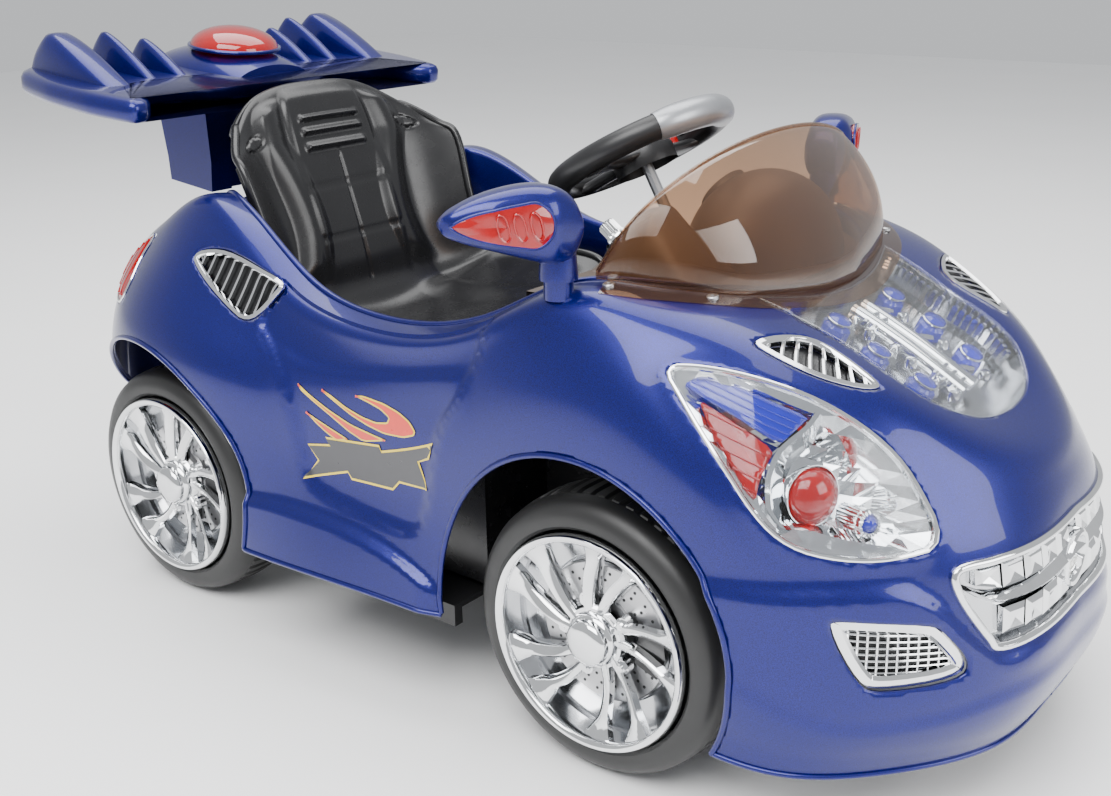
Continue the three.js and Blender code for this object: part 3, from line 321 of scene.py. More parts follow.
def surface(u, v):
    """Points of the body's right side: u runs 0 to 15 from tail to nose, v 0 to 8 downwards."""
    u, v = np.broadcast_arrays(np.asarray(u, float), np.asarray(v, float))
    i = np.clip(np.floor(u).astype(int), 0, STATIONS - 2)
    j = np.clip(np.floor(v).astype(int), 0, LINES - 2)
    across, down = cubic_weights(u - i), cubic_weights(v - j)
    total = 0
    for a in range(4):
        for b in range(4):
            total = total + (across[a] * down[b])[..., None] * NET[i + a, j + b]
    return total * MIRROR_Y


def normals(u, v, step=0.02):
    """Outward unit normals of the surface's right side."""
    along = surface(np.clip(u + step, 0, 15), v) - surface(np.clip(u - step, 0, 15), v)
    down = surface(u, np.clip(v + step, 0, 8)) - surface(u, np.clip(v - step, 0, 8))
    cross = np.cross(down, along)
    length = np.linalg.norm(cross, axis=-1, keepdims=True)
    return cross / np.maximum(length, 1e-9)


GRID_U, GRID_V = np.meshgrid(np.linspace(0, 15, 451), np.linspace(0, 8, 241), indexing="ij")
GRID_POINTS = surface(GRID_U, GRID_V)


def locate(points, axes, lines):
    """The (u, v) whose surface points have these coordinates on two axes, in a range of feature lines."""
    inside = (GRID_V >= lines[0]) & (GRID_V <= lines[1])
    spots, us, vs = GRID_POINTS[inside][:, axes], GRID_U[inside], GRID_V[inside]
    found = []
    for target in np.asarray(points, float):
        k = int(np.argmin(((spots - target) ** 2).sum(axis=1)))
        u, v = us[k], vs[k]
        for _ in range(6):
            here = surface(u, v)[axes]
            du = (surface(u + 0.01, v)[axes] - here) / 0.01
            dv = (surface(u, v + 0.01)[axes] - here) / 0.01
            step, *_ = np.linalg.lstsq(np.stack([du, dv], axis=1), target - here, rcond=None)
            u = float(np.clip(u + np.clip(step[0], -0.3, 0.3), 0, 15))
            v = float(np.clip(v + np.clip(step[1], -0.3, 0.3), lines[0], lines[1]))
        found.append((u, v))
    return np.array(found)


def rounded(points, per=8, closed=True):
    """A smooth curve through the points (Catmull-Rom), with so many steps for each of them."""
    points = np.asarray(points, float)
    count = len(points)
    spans = range(count) if closed else range(count - 1)
    made = []
    for k in spans:
        pick = [k - 1, k, k + 1, k + 2]
        a, b, c, d = (points[m % count] if closed else points[min(max(m, 0), count - 1)] for m in pick)
        for t in np.arange(per) / per:
            bend = (2 * a - 5 * b + 4 * c - d) * t * t + (3 * b - a - 3 * c + d) * t**3
            made.append(0.5 * (2 * b + (c - a) * t + bend))
    if not closed:
        made.append(points[-1])
    return np.array(made)


def softened(points, passes=2, keep=0.25):
    """A polygon with its corners cut round (Chaikin)."""
    points = np.asarray(points, float)
    for _ in range(passes):
        after = np.roll(points, -1, axis=0)
        points = np.stack([points * (1 - keep) + after * keep, points * keep + after * (1 - keep)], axis=1)
        points = points.reshape(-1, points.shape[-1])
    return points


# ---------- openings in the body ----------

HEADLIGHT = [
    [10.52, 3.38], [10.95, 3.09], [11.55, 2.83], [12.12, 2.76], [12.7, 3.08], [13.08, 3.65], [13.33, 4.7],
    [12.85, 4.96], [12.4, 5.06], [11.95, 5.08], [11.65, 4.9], [11.3, 4.38], [10.85, 3.78],
]
HOOD_VENT = [
    [11.34, 2.15], [11.62, 1.66], [12.05, 1.36], [12.5, 1.5], [12.94, 1.98], [12.73, 2.25], [12.2, 2.35],
    [11.65, 2.27],
]
SHOULDER_VENT = [
    [4.12, 3.3], [4.5, 2.92], [5.05, 2.42], [5.5, 2.05], [5.62, 2.25], [5.5, 3.2], [5.3, 3.8], [4.9, 3.7],
    [4.4, 3.52],
]
FOG_GRILLE = [
    [12.3, 5.74], [12.4, 5.66], [13.15, 5.65], [13.28, 5.78], [13.49, 6.14], [13.42, 6.35], [12.75, 6.44],
    [12.6, 6.35],
]
TAIL_LIGHT = [
    [3.05, 2.75], [2.95, 3.3], [3.08, 3.9], [3.0, 4.35], [2.6, 4.2], [2.2, 3.6], [2.35, 3.1], [2.7, 2.8],
]
GRILLE = [
    [15.6, 4.78], [15, 4.78], [14.6, 4.82], [14.05, 4.88], [13.7, 4.95], [13.38, 5.06], [13.4, 5.38],
    [13.65, 5.9], [13.78, 6.05], [14.3, 6.03], [15, 6], [15.6, 6],
]
COCKPIT = [
    [322, 0], [318, -55], [302, -104], [276, -142], [244, -168], [200, -190], [150, -204], [60, -208],
    [-40, -207], [-120, -200], [-190, -190], [-250, -174], [-305, -140], [-335, -90], [-345, 0],
]
ENGINE_BAY = [
    [343, 0], [339, -40], [331, -75], [319, -112], [354, -107], [388, -100], [425, -99], [455, -90],
    [476, -64], [486, -35], [489, 0],
]
ARCHES = {"front": (238, 140, 148), "rear": (-300, 140, 155)}

# Corners cut round, as the openings' true outlines in (u, v).
LIGHT_EDGE = softened(HEADLIGHT)
HOOD_EDGE = softened(HOOD_VENT)
SHOULDER_EDGE = softened(SHOULDER_VENT)
FOG_EDGE = softened(FOG_GRILLE)
TAIL_EDGE = softened(TAIL_LIGHT)
GRILLE_EDGE = softened(GRILLE)


def plan_curve(half):
    """A half outline seen from above, as a smooth open curve that meets the middle squarely."""
    both = half + [[x, -y] for x, y in reversed(half[1:-1])]
    ring = rounded(both, 6)
    return ring[: 6 * (len(half) - 1) + 1]


COCKPIT_PLAN = plan_curve(COCKPIT)
ENGINE_BACK, ENGINE_FRONT = rounded(
    ENGINE_BAY[:4], 6, closed=False,
), rounded(ENGINE_BAY[3:], 6, closed=False)
ENGINE_PLAN = np.concatenate([ENGINE_BACK[:-1], ENGINE_FRONT])
COCKPIT_EDGE = locate(COCKPIT_PLAN, [0, 1], (0, 4.5))
ENGINE_EDGE = locate(ENGINE_PLAN, [0, 1], (0, 4.5))


def arch_edge(x, z, r):
    """The part of a wheel arch's circle that lies on the body's side, from bottom edge to bottom edge."""
    angles = np.linspace(math.radians(-40), math.radians(220), 140)
    circle = np.stack([x + r * np.cos(angles), z + r * np.sin(angles)], axis=1)
    found = locate(circle, [0, 2], (2.6, 8))
    reached = surface(found[:, 0], found[:, 1])[:, [0, 2]]
    on = np.linalg.norm(reached - circle, axis=1) < 1.0
    jumps = np.linalg.norm(np.diff(surface(*found[on].T), axis=0), axis=1) > 12
    last = np.argmax(jumps) + 1 if jumps.any() else len(jumps) + 1
    return found[on][:last]


ARCH_EDGES = {name: arch_edge(*arch) for name, arch in ARCHES.items()}


def within(points, outline):
    """True for each (n, 2) point inside a closed outline."""
    x, y = points[:, 0], points[:, 1]
    inside = np.zeros(len(points), bool)
    for (x0, y0), (x1, y1) in zip(outline, np.roll(outline, -1, axis=0)):
        crosses = (y0 > y) != (y1 > y)
        with np.errstate(divide="ignore", invalid="ignore"):
            at = (x1 - x0) * (y - y0) / (y1 - y0) + x0
        inside ^= crosses & (x < at)
    return inside


def line_distance(points, line):
    """Each point's distance from a polyline of points in space."""
    least = np.full(len(points), np.inf)
    for a, b in zip(line[:-1], line[1:]):
        ab = b - a
        t = np.clip((points - a) @ ab / max(ab @ ab, 1e-9), 0, 1)
        least = np.minimum(least, np.linalg.norm(points - a - t[:, None] * ab, axis=1))
    return least


def smooth_step(value, low, high):
    t = np.clip((value - low) / (high - low), 0, 1)
    return t * t * (3 - 2 * t)


# ---------- relief on the body ----------

DOOR_LINE = [
    [5.5, 3.8], [5.7, 4.1], [5.93, 4.6], [6.02, 5.03], [6.08, 5.55], [6.12, 5.93], [6.22, 6.4],
    [6.62, 6.6], [7.28, 6.66], [7.48, 6.5], [7.57, 6.1], [7.65, 5.43], [7.8, 4.7], [8.02, 4.15],
    [8.18, 3.6], [8.3, 2.9], [8.33, 2.5],
]
DOOR_WAIST = [[5.68, 3.98], [6.15, 4.18], [6.6, 4.08], [7.1, 3.85], [7.65, 3.72], [8.12, 3.78]]
POD_TOP = [[5.3, 6.95], [5.65, 6.88], [5.98, 6.85], [6.62, 6.88], [7.12, 7.02], [7.52, 7.25], [7.9, 7.6]]
BUMPER_TOP = [
    [11.2, 5.75], [11.48, 5.62], [12.08, 5.4], [12.58, 5.26], [12.95, 5.2], [13.12, 5.3], [13.32, 5.43],
]
BUMPER_LOW = [
    [11.2, 5.95], [11.52, 5.84], [12.08, 5.62], [12.55, 5.47], [12.92, 5.42], [13.25, 5.62], [13.6, 6.08],
    [13.85, 6.26], [14.3, 6.2], [15, 6.14],
]
LIP = [[11.2, 6.75], [11.58, 6.7], [11.95, 6.78], [12.58, 6.93], [13.28, 6.82], [13.9, 6.62], [15, 6.55]]


FAR = 99.0


def curve_on_body(outline):
    uv = rounded(outline, 6, closed=False)
    return surface(np.clip(uv[:, 0], 0, 15), uv[:, 1])


def level_at(u, outline):
    """The line number at which a left-to-right outline lies for each station."""
    points = rounded(outline, 6, closed=False)
    return np.interp(u, points[:, 0], points[:, 1])


def relief(u, v):
    """Height of the moulded shapes above the plain surface, in millimetres."""
    shape = np.shape(u)
    u, v = np.ravel(u), np.ravel(v)
    place = surface(u, v)
    height = np.zeros(len(u))

    side = (u > 4.8) & (u < 9) & (v > 2)
    door = within(np.stack([u, v], axis=1), np.array(DOOR_LINE + [[8.33, 1.0], [5.5, 1.0]]))
    gap = np.full(len(u), FAR)
    gap[side] = line_distance(place[side], curve_on_body(DOOR_LINE))
    height -= np.where(door & side, 3.0 * smooth_step(gap, 0, 9), 0)
    height -= 0.8 * np.exp(-((gap / 2.0) ** 2))

    waist = np.full(len(u), FAR)
    waist[side] = line_distance(place[side], curve_on_body(DOOR_WAIST))
    above = v < level_at(u, DOOR_WAIST)
    fade = np.where(above, 7.0, 26.0)
    along = smooth_step(u, 5.6, 6.0) * (1 - smooth_step(u, 7.9, 8.2))
    height += 3.0 * np.exp(-((waist / fade) ** 2)) * along

    pod = level_at(u, POD_TOP)
    along = smooth_step(u, 5.35, 5.55) * (1 - smooth_step(u, 7.55, 7.85))
    height += 8.0 * smooth_step((v - pod) * 45, -4, 6) * along

    front = smooth_step(u, 10.9, 11.1)
    top, low = level_at(u, BUMPER_TOP), level_at(u, BUMPER_LOW)
    nose = smooth_step(u, 13.15, 13.4)
    ledge = smooth_step(v, top, low) * (1 - nose) + smooth_step((v - low) * 50, -9, 3) * nose
    height += 6.0 * ledge * front * (1 - smooth_step(v, 6.5, 7.6))
    lip = level_at(u, LIP)
    height += 3.0 * front * smooth_step((v - lip) * 45, -5, 5) * (1 - 0.6 * smooth_step(v, 7.2, 8))

    light = within(np.stack([u, v], axis=1), LIGHT_EDGE)
    near = (u > 10) & (u < 13.9) & (v > 2.3) & (v < 5.6)
    rim = np.full(len(u), FAR)
    rim[near] = line_distance(place[near], np.vstack([surface(*LIGHT_EDGE.T), surface(*LIGHT_EDGE[:1].T)]))
    height += np.where(light, 0, 1.6 * np.exp(-((rim / 9) ** 2)))
    return height.reshape(shape)


def body_point(u, v, offset=0.0):
    """Points offset outward from the body's moulded surface."""
    return surface(u, v) + normals(u, v) * (relief(u, v)[..., None] + offset)


# ---------- making pieces ----------


def make_mesh(name, points, faces):
    mesh = bpy.data.meshes.new(name)
    mesh.from_pydata((np.asarray(points, float) * MM).tolist(), [], [list(map(int, f)) for f in faces])
    mesh.validate()
    mesh.update()
    return mesh


def tidy_mesh(mesh, merge=1e-5):
    made = bmesh.new()
    made.from_mesh(mesh)
    bmesh.ops.remove_doubles(made, verts=made.verts, dist=merge)
    bmesh.ops.dissolve_degenerate(made, edges=made.edges, dist=1e-7)
    bmesh.ops.recalc_face_normals(made, faces=made.faces)
    made.to_mesh(mesh)
    made.free()


def piece(name, mesh, material, body, replaces=(), sharp=35, closed=True):
    """A shown piece, smooth but for edges sharper than an angle, riding on a body."""
    if closed:
        tidy_mesh(mesh)
    for polygon in mesh.polygons:
        polygon.use_smooth = True
    mesh.set_sharp_from_angle(angle=math.radians(sharp))
    made = bpy.data.objects.new(name, mesh)
    bpy.context.scene.collection.objects.link(made)
    mesh.materials.append(material)
    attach(made, body)
    if replaces:
        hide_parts(*replaces)
    return made


def solidify(made, thickness, offset=-1.0):
    modifier = made.modifiers.new("Solidify", "SOLIDIFY")
    modifier.thickness, modifier.offset = thickness * MM, offset


def grid_faces(rows, columns, closed_rows=False, closed_columns=False):
    """Quads of a grid of points stored row by row."""
    made = []
    for i in range(rows if closed_rows else rows - 1):
        for j in range(columns if closed_columns else columns - 1):
            a, b = i * columns + j, i * columns + (j + 1) % columns
            c, d = ((i + 1) % rows) * columns + (j + 1) % columns, ((i + 1) % rows) * columns + j
            made.append([a, b, c, d])
    return made


def loft(rows, closed_columns=False, closed_rows=False, caps=False):
    """(points, faces) of a sheet through rows of points; caps fill the first and the last row."""
    rows = np.asarray(rows, float)
    count, width = rows.shape[:2]
    faces = grid_faces(count, width, closed_rows, closed_columns)
    if caps:
        faces.append(list(range(width)))
        faces.append([(count - 1) * width + k for k in reversed(range(width))])
    return rows.reshape(-1, 3), faces


def frames_along(path, closed):
    """Unit tangents, and two unit directions across a path that don't twist."""
    path = np.asarray(path, float)
    if closed:
        tangents = np.roll(path, -1, axis=0) - np.roll(path, 1, axis=0)
    else:
        tangents = np.gradient(path, axis=0)
    tangents /= np.linalg.norm(tangents, axis=1, keepdims=True)
    first = np.cross(tangents[0], [0, 0, 1])
    if np.linalg.norm(first) < 0.2:
        first = np.cross(tangents[0], [0, 1, 0])
    sides = [first / np.linalg.norm(first)]
    for tangent in tangents[1:]:
        carried = sides[-1] - tangent * (sides[-1] @ tangent)
        sides.append(carried / np.linalg.norm(carried))
    sides = np.array(sides)
    return tangents, sides, np.cross(tangents, sides)


def tube(path, radius, closed=False, sides=10):
    """(points, faces) of a round bar along a path."""
    _, across, up = frames_along(path, closed)
    angles = around(sides)
    radius = np.broadcast_to(np.asarray(radius, float), (len(path),))
    rows = [
        np.asarray(p) + r * (np.cos(angles)[:, None] * a + np.sin(angles)[:, None] * b)
        for p, r, a, b in zip(path, radius, across, up)
    ]
    return loft(rows, closed_columns=True, closed_rows=closed, caps=not closed)


def lathe(profile, segments):
    """(points, faces) turned about the Y axis from [radius, y] points."""
    angles = around(segments)
    ring = np.stack([np.cos(angles), np.zeros(segments), np.sin(angles)], axis=1)
    return loft([r * ring + [0, y, 0] for r, y in profile], closed_columns=True)


def prism(outline, low, high):
    """(points, faces) of an outline in x and z, pushed across from low to high."""
    count = len(outline)
    points = [(x, y, z) for y in (low, high) for x, z in outline]
    faces = [[k, (k + 1) % count, count + (k + 1) % count, count + k] for k in range(count)]
    faces.append(list(reversed(range(count))))
    faces.append(list(range(count, 2 * count)))
    return np.array(points, float), faces


def upright(profile, count):
    """Rings round the Z axis from [radius, z] points."""
    return [[(r * math.cos(a), r * math.sin(a), z) for a in around(count)] for r, z in profile]


def gathered(parts):
    """Several (points, faces) as one."""
    points, faces, start = [], [], 0
    for p, f in parts:
        points.append(np.asarray(p, float))
        faces.extend([[k + start for k in face] for face in f])
        start += len(p)
    return np.concatenate(points), faces


# ---------- patches of the body's surface ----------

FINE = np.array([1 / 18, 1 / 16])
SIDE_EDGE = np.array([[0, 0], [15, 0], [15, 8], [0, 8]], float)


def resampled(line, step, closed):
    """A polyline's points no further apart than a grid cell."""
    made = []
    ends = np.roll(line, -1, axis=0) if closed else line[1:]
    for a, b in zip(line, ends):
        count = max(1, int(np.ceil(np.abs((b - a) / step).max())))
        made.extend(a + (b - a) * t / count for t in range(count))
    if not closed:
        made.append(line[-1])
    return np.array(made)


def triangulated(outline, holes=(), creases=(), step=FINE):
    """(u, v) points and triangles that fill an outline less its holes, with edges along the creases."""
    low, high = np.min(outline, axis=0), np.max(outline, axis=0)
    axes = [np.arange(math.floor(a / s), math.ceil(b / s) + 1) * s for a, b, s in zip(low, high, step)]
    grid = np.stack(np.meshgrid(*axes, indexing="ij"), axis=-1).reshape(-1, 2)
    loops = [resampled(np.asarray(loop, float), step, True) for loop in (outline, *holes)]
    lines = [resampled(np.asarray(line, float), step, False) for line in creases]
    keep = within(grid, loops[0])
    for hole in loops[1:]:
        keep &= ~within(grid, hole)
    grid = grid[keep]
    for line in [np.vstack([loop, loop[:1]]) for loop in loops] + lines:
        box = (grid > line.min(axis=0) - step).all(axis=1) & (grid < line.max(axis=0) + step).all(axis=1)
        near = np.full(len(grid), 9.0)
        near[box] = line_distance(grid[box] / step, line / step)
        grid = grid[near > 0.45]
    points, edges = [], []
    for line, closed in [(loop, True) for loop in loops] + [(line, False) for line in lines]:
        start, count = len(points), len(line)
        points.extend(line)
        edges.extend((start + k, start + (k + 1) % count) for k in range(count if closed else count - 1))
    points = np.vstack([points, grid]) / step
    found = delaunay_2d_cdt([Vector(p) for p in points], edges, [], 0, 1e-7)
    uv = np.array([tuple(p) for p in found[0]]) * step
    faces = np.array([f for f in found[2] if len(f) == 3])
    centres = uv[faces].mean(axis=1)
    inside = within(centres, loops[0])
    for hole in loops[1:]:
        inside &= ~within(centres, hole)
    faces = faces[inside]
    used, renumbered = np.unique(faces, return_inverse=True)
    uv, faces = np.clip(uv[used], [0, 0], [15, 8]), renumbered.reshape(-1, 3)
    corners = uv[faces]
    ab, ac = corners[:, 1] - corners[:, 0], corners[:, 2] - corners[:, 0]
    flipped = ab[:, 0] * ac[:, 1] - ab[:, 1] * ac[:, 0] < 0
    faces[flipped] = faces[flipped][:, ::-1]
    return uv, faces[:, ::-1]


def inset_edge(edge, distance):
    """A closed (u, v) outline moved inwards on the surface by a distance in millimetres."""
    u, v = edge.T
    along = surface(np.roll(u, -1), np.roll(v, -1)) - surface(np.roll(u, 1), np.roll(v, 1))
    inward = np.cross(normals(u, v), along)
    inward /= np.maximum(np.linalg.norm(inward, axis=1, keepdims=True), 1e-9)
    per_u = (surface(u + 0.01, v) - surface(u - 0.01, v)) / 0.02
    per_v = (surface(u, v + 0.01) - surface(u, v - 0.01)) / 0.02
    steps = [
        np.linalg.lstsq(np.stack([a, b], axis=1), d, rcond=None)[0] for a, b, d in zip(per_u, per_v, inward)
    ]
    steps = np.array(steps)
    if within(edge + steps, edge).mean() < 0.5:
        steps = -steps
    return edge + steps * distance


def edge_distance(uv, edge):
    ring = surface(*np.vstack([edge, edge[:1]]).T)
    return line_distance(surface(*uv.T), ring)


def patch(edge, offset, step=FINE, shaped=False):
    """(points, faces) of the surface within an edge, offset by a number or as the edge's distance gives."""
    uv, faces = triangulated(edge, step=step)
    rise = offset(edge_distance(uv, edge)) if callable(offset) else np.full(len(uv), float(offset))
    if shaped:
        rise = rise + relief(*uv.T)
    return surface(*uv.T) + normals(*uv.T) * rise[:, None], faces


def wall_between(edge, outer, inner):
    """(points, faces) of the wall that follows an edge from one offset to another."""
    place, out = surface(*edge.T), normals(*edge.T)
    return loft([place + out * outer, place + out * inner], closed_columns=True)


def edge_tube(edge, radius, offset):
    return tube(surface(*edge.T) + normals(*edge.T) * offset, radius, closed=True, sides=8)


def mirrored(part):
    points, faces = part
    return points * MIRROR_Y, [list(reversed(f)) for f in faces]


def across_middle(part):
    return gathered([part, mirrored(part)])


def paired(name, part, material, replaces=None, sharp=35, thick=0.0):
    """The same piece on each side of the body, standing for that side's node when it has one."""
    for side_name, side in SIDES.items():
        points, faces = part if side == RIGHT else mirrored(part)
        nodes = [f"{replaces}_{side_name}"] if replaces else []
        mesh = make_mesh(name, points, faces)
        shown = piece(f"{name}_{side_name}", mesh, material, "car", nodes, sharp)
        if thick:
            solidify(shown, thick)


# ---------- the body shell ----------


BEYOND_MIDDLE, BEYOND_FOOT = -0.6, 8.6


def opened(edge, level):
    """An open edge closed at a line number, such as one beyond the surface's own border."""
    return np.vstack([edge, [edge[-1][0], level], [edge[0][0], level]])


def half_openings():
    return [
        LIGHT_EDGE, HOOD_EDGE, SHOULDER_EDGE, FOG_EDGE, TAIL_EDGE, GRILLE_EDGE,
        opened(COCKPIT_EDGE, BEYOND_MIDDLE), opened(ENGINE_EDGE, BEYOND_MIDDLE),
        opened(ARCH_EDGES["front"], BEYOND_FOOT), opened(ARCH_EDGES["rear"], BEYOND_FOOT),
    ]


def body_shell():
    creases = [rounded(line, 4, closed=False) for line in (DOOR_LINE, POD_TOP[1:-1], BUMPER_LOW[1:-1])]
    uv, faces = triangulated(SIDE_EDGE, half_openings(), creases)
    points = body_point(*uv.T)
    middle = (uv[:, 0] < 1e-6) | (uv[:, 0] > 15 - 1e-6) | (uv[:, 1] < 1e-6)
    points[middle, 1] = 0
    mesh = make_mesh("body_shell_skin", *across_middle((points, [list(f) for f in faces])))
    shown = piece("body_shell_skin", mesh, PAINT, "car", ["body_shell"], sharp=50)
    solidify(shown, WALL)


TUB_TOP = 318


def ring_both(curve):
    """An open right-side curve from the middle to the middle, closed by its mirror image."""
    return np.vstack([curve, (curve * MIRROR_Y)[1:-1][::-1]])


def cockpit_lip():
    """The rolled edge round the cockpit and the wall below it that meets the floor tub."""
    top = surface(*COCKPIT_EDGE.T)
    top[[0, -1], 1] = 0
    ring = ring_both(top)
    tangents, _, _ = frames_along(ring * [1, 1, 0], True)
    inward = np.cross(tangents, [0, 0, 1])
    middle = ring.mean(axis=0)
    inward *= np.sign(((middle - ring) * inward).sum(axis=1).mean())
    rows = [
        ring + inward * out + [0, 0, rise]
        for out, rise in ((-3, -0.4), (-1, 2.2), (2.4, 2.4), (4.6, 0.2), (5.2, -4))
    ]
    foot = ring + inward * 5.6
    foot[:, 2] = TUB_TOP
    mesh = make_mesh("cockpit_lip", *loft([*rows, foot], closed_columns=True))
    solidify(piece("cockpit_lip", mesh, PAINT, "car", sharp=60), 2.5)


def arch_beads():
    for name, edge in ARCH_EDGES.items():
        place = body_point(*edge.T, offset=0.4)
        paired(f"arch_bead_{name}", tube(place, 2.6, sides=8), PAINT, sharp=60)


def sill_bead():
    """The rounded lower edge of the body between, before and behind the wheel arches."""
    front, rear = ARCH_EDGES["front"], ARCH_EDGES["rear"]
    front_ends = sorted((front[0][0], front[-1][0]))
    rear_ends = sorted((rear[0][0], rear[-1][0]))
    spans = {
        "tail": (0.02, rear_ends[0]), "side": (rear_ends[1], front_ends[0]),
        "nose": (front_ends[1], 14.98),
    }
    for name, (low, high) in spans.items():
        us = np.linspace(low, high, 60)
        place = body_point(us, np.full(60, 7.97), offset=0.2)
        paired(f"sill_bead_{name}", tube(place, 2.4, sides=8), PAINT, sharp=60)


body_shell()
cockpit_lip()
arch_beads()
sill_bead()


# ---------- headlights, vents, grilles and lamps in the skin ----------


def domed(base, rise, start, end):
    """An offset that grows by a rise as the distance from the edge goes from start to end."""
    return lambda distance: base + rise * smooth_step(distance, start, end)


def headlight():
    cover = patch(inset_edge(LIGHT_EDGE, 2.2), domed(1.2, 2.4, 0, 26))
    paired("headlight_cover", cover, CLEAR, "headlight_lens", thick=1.6)
    paired("headlight_rim", edge_tube(LIGHT_EDGE, 2.0, 0.4), CHROME)
    inner = inset_edge(LIGHT_EDGE, 1.5)
    coarse = np.array([1 / 6, 1 / 5])
    bowl = patch(inner, domed(-5, -27, 2, 30), coarse)
    shell = gathered([bowl, wall_between(inner, -0.5, -5)])
    paired("headlight_reflector", shell, CHROME, "headlight_bowl", sharp=4)


LAMP_FACE = (0.9, -0.42, 0.12)
LAMP_BALL = (12.2, 4.2, 17)
LAMP_BARREL = (12.72, 4.5, 9)


def lamp_spot(u, v, depth):
    return surface(u, v) - normals(u, v) * depth


def turned_on(centre, axis, profile, segments=48, flutes=0, depth=0.0):
    """(points, faces) turned about an axis from [radius, height] points, fluted if asked."""
    axis = np.asarray(axis, float) / np.linalg.norm(axis)
    across = np.cross(axis, [0, 0, 1] if abs(axis[2]) < 0.99 else [0, 1, 0])
    across /= np.linalg.norm(across)
    up = np.cross(across, axis)
    angles = around(segments)
    ring = np.cos(angles)[:, None] * across + np.sin(angles)[:, None] * up
    wave = 1 + depth * np.cos(flutes * angles)[:, None]
    return loft([np.asarray(centre) + axis * h + ring * r * wave for r, h in profile], closed_columns=True)


def dome_on(centre, axis, radius, height, rings=8, segments=32):
    """(points, faces) of a round dome standing on a base point."""
    steps = [0.5 * math.pi * k / rings for k in range(rings + 1)]
    profile = [(radius * max(math.cos(t), 0.001), height * math.sin(t)) for t in steps]
    return turned_on(centre, axis, profile, segments)


def headlight_lamps():
    spot = lamp_spot(*LAMP_BALL)
    ball = dome_on(spot, LAMP_FACE, 21, 15)
    paired("headlight_ball", ball, RED, "headlight_lamp")
    cup = [(9, -16), (16, -14), (21, -4), (22.6, 1.2), (23.6, 1.2), (22.6, -4), (17, -15), (9, -17)]
    paired("headlight_ball_cup", turned_on(spot, LAMP_FACE, cup), CHROME)
    spot = lamp_spot(*LAMP_BARREL)
    barrel = [
        (6, -34), (9.6, -32), (9.6, -8), (8.4, -6.5), (10.4, -5), (10.4, -1), (8.6, 0.6), (7, -0.4),
        (6.4, -4),
    ]
    shaped = turned_on(spot, LAMP_FACE, barrel, 120, 20, 0.045)
    paired("headlight_barrel", shaped, CHROME)
    back = spot - np.array(LAMP_FACE) / np.linalg.norm(LAMP_FACE) * 3.5
    paired("headlight_blue_ball", dome_on(back, LAMP_FACE, 6.6, 7), BLUE_CLEAR)


BLUE_WEDGE = [
    [10.78, 3.46], [10.92, 3.3], [11.42, 3.1], [12.05, 3.1], [11.92, 3.42], [11.8, 3.68], [11.38, 3.58],
    [10.95, 3.53],
]
RED_WEDGE = [
    [10.97, 3.6], [11.3, 3.66], [11.76, 3.8], [11.7, 4.15], [11.66, 4.42], [11.65, 4.68], [11.55, 4.62],
    [11.33, 4.22], [11.12, 3.9],
]
REFLECTOR_EDGE = [
    [12.1, 3.0], [12.0, 3.3], [11.86, 3.6], [11.77, 3.85], [11.72, 4.2], [11.72, 4.45], [11.75, 4.73],
    [11.88, 4.9],
]


def headlight_wedges():
    for name, outline, material, slot in (
        ("blue", BLUE_WEDGE, BLUE_CLEAR, "blue_clear_plastic"),
        ("red", RED_WEDGE, RED, "red_plastic"),
    ):
        edge = softened(outline, 1, 0.15)
        paired(f"headlight_wedge_{name}", patch(edge, -5), material, thick=3.0)
        ribs = slats(edge, 5, "u", -4.4, 0.6, 0.8)
        paired(f"headlight_ribs_{name}", gathered(ribs), material)
    arc = rounded(REFLECTOR_EDGE, 6, closed=False)
    band = [surface(*arc.T) + normals(*arc.T) * d for d in (-2.4, -3.0, -22)]
    inner = surface(arc[:, 0] + 0.05, arc[:, 1]) - normals(*arc.T) * 2.4
    back = surface(arc[:, 0] + 0.2, arc[:, 1]) - normals(*arc.T) * 24
    partition = loft([band[2], band[1], band[0], inner, back])
    paired("headlight_partition", partition, CHROME, sharp=30)


def slats(edge, count, direction, offset, height, width):
    """Bars across an opening: each follows the surface from edge to edge, along u or v."""
    axis = 0 if direction == "v" else 1
    low, high = edge.min(axis=0)[axis], edge.max(axis=0)[axis]
    made = []
    for k in range(count):
        level = low + (high - low) * (k + 0.5) / count
        other = np.linspace(edge.min(axis=0)[1 - axis], edge.max(axis=0)[1 - axis], 160)
        uv = np.empty((160, 2))
        uv[:, axis], uv[:, 1 - axis] = level, other
        inside = within(uv, edge)
        if inside.sum() < 3:
            continue
        run = uv[inside][:: max(1, int(inside.sum() / 24))]
        if len(run) < 3:
            continue
        place, out = surface(*run.T), normals(*run.T)
        tangents, _, _ = frames_along(place, False)
        across = np.cross(out, tangents)
        section = ((-width, -height), (-width, 0), (0, width * 0.6), (width, 0), (width, -height))
        rows = [
            np.stack([p + a * x + n * (offset + z) for x, z in section])
            for p, a, n in zip(place, across, out)
        ]
        made.append(loft(rows, closed_columns=True, caps=True))
    return made


def frame_round(edge, wide, outer=1.2, deep=5.0):
    """(points, faces) of a raised frame that follows an edge and slopes in to its opening."""
    place = [surface(*inset_edge(edge, d).T) for d in (0.2, 1.2, wide * 0.75, wide, wide)]
    out = normals(*edge.T)
    heights = (-1.0, outer, outer + 0.4, -0.6, -deep)
    return loft([p + out * h for p, h in zip(place, heights)], closed_columns=True)


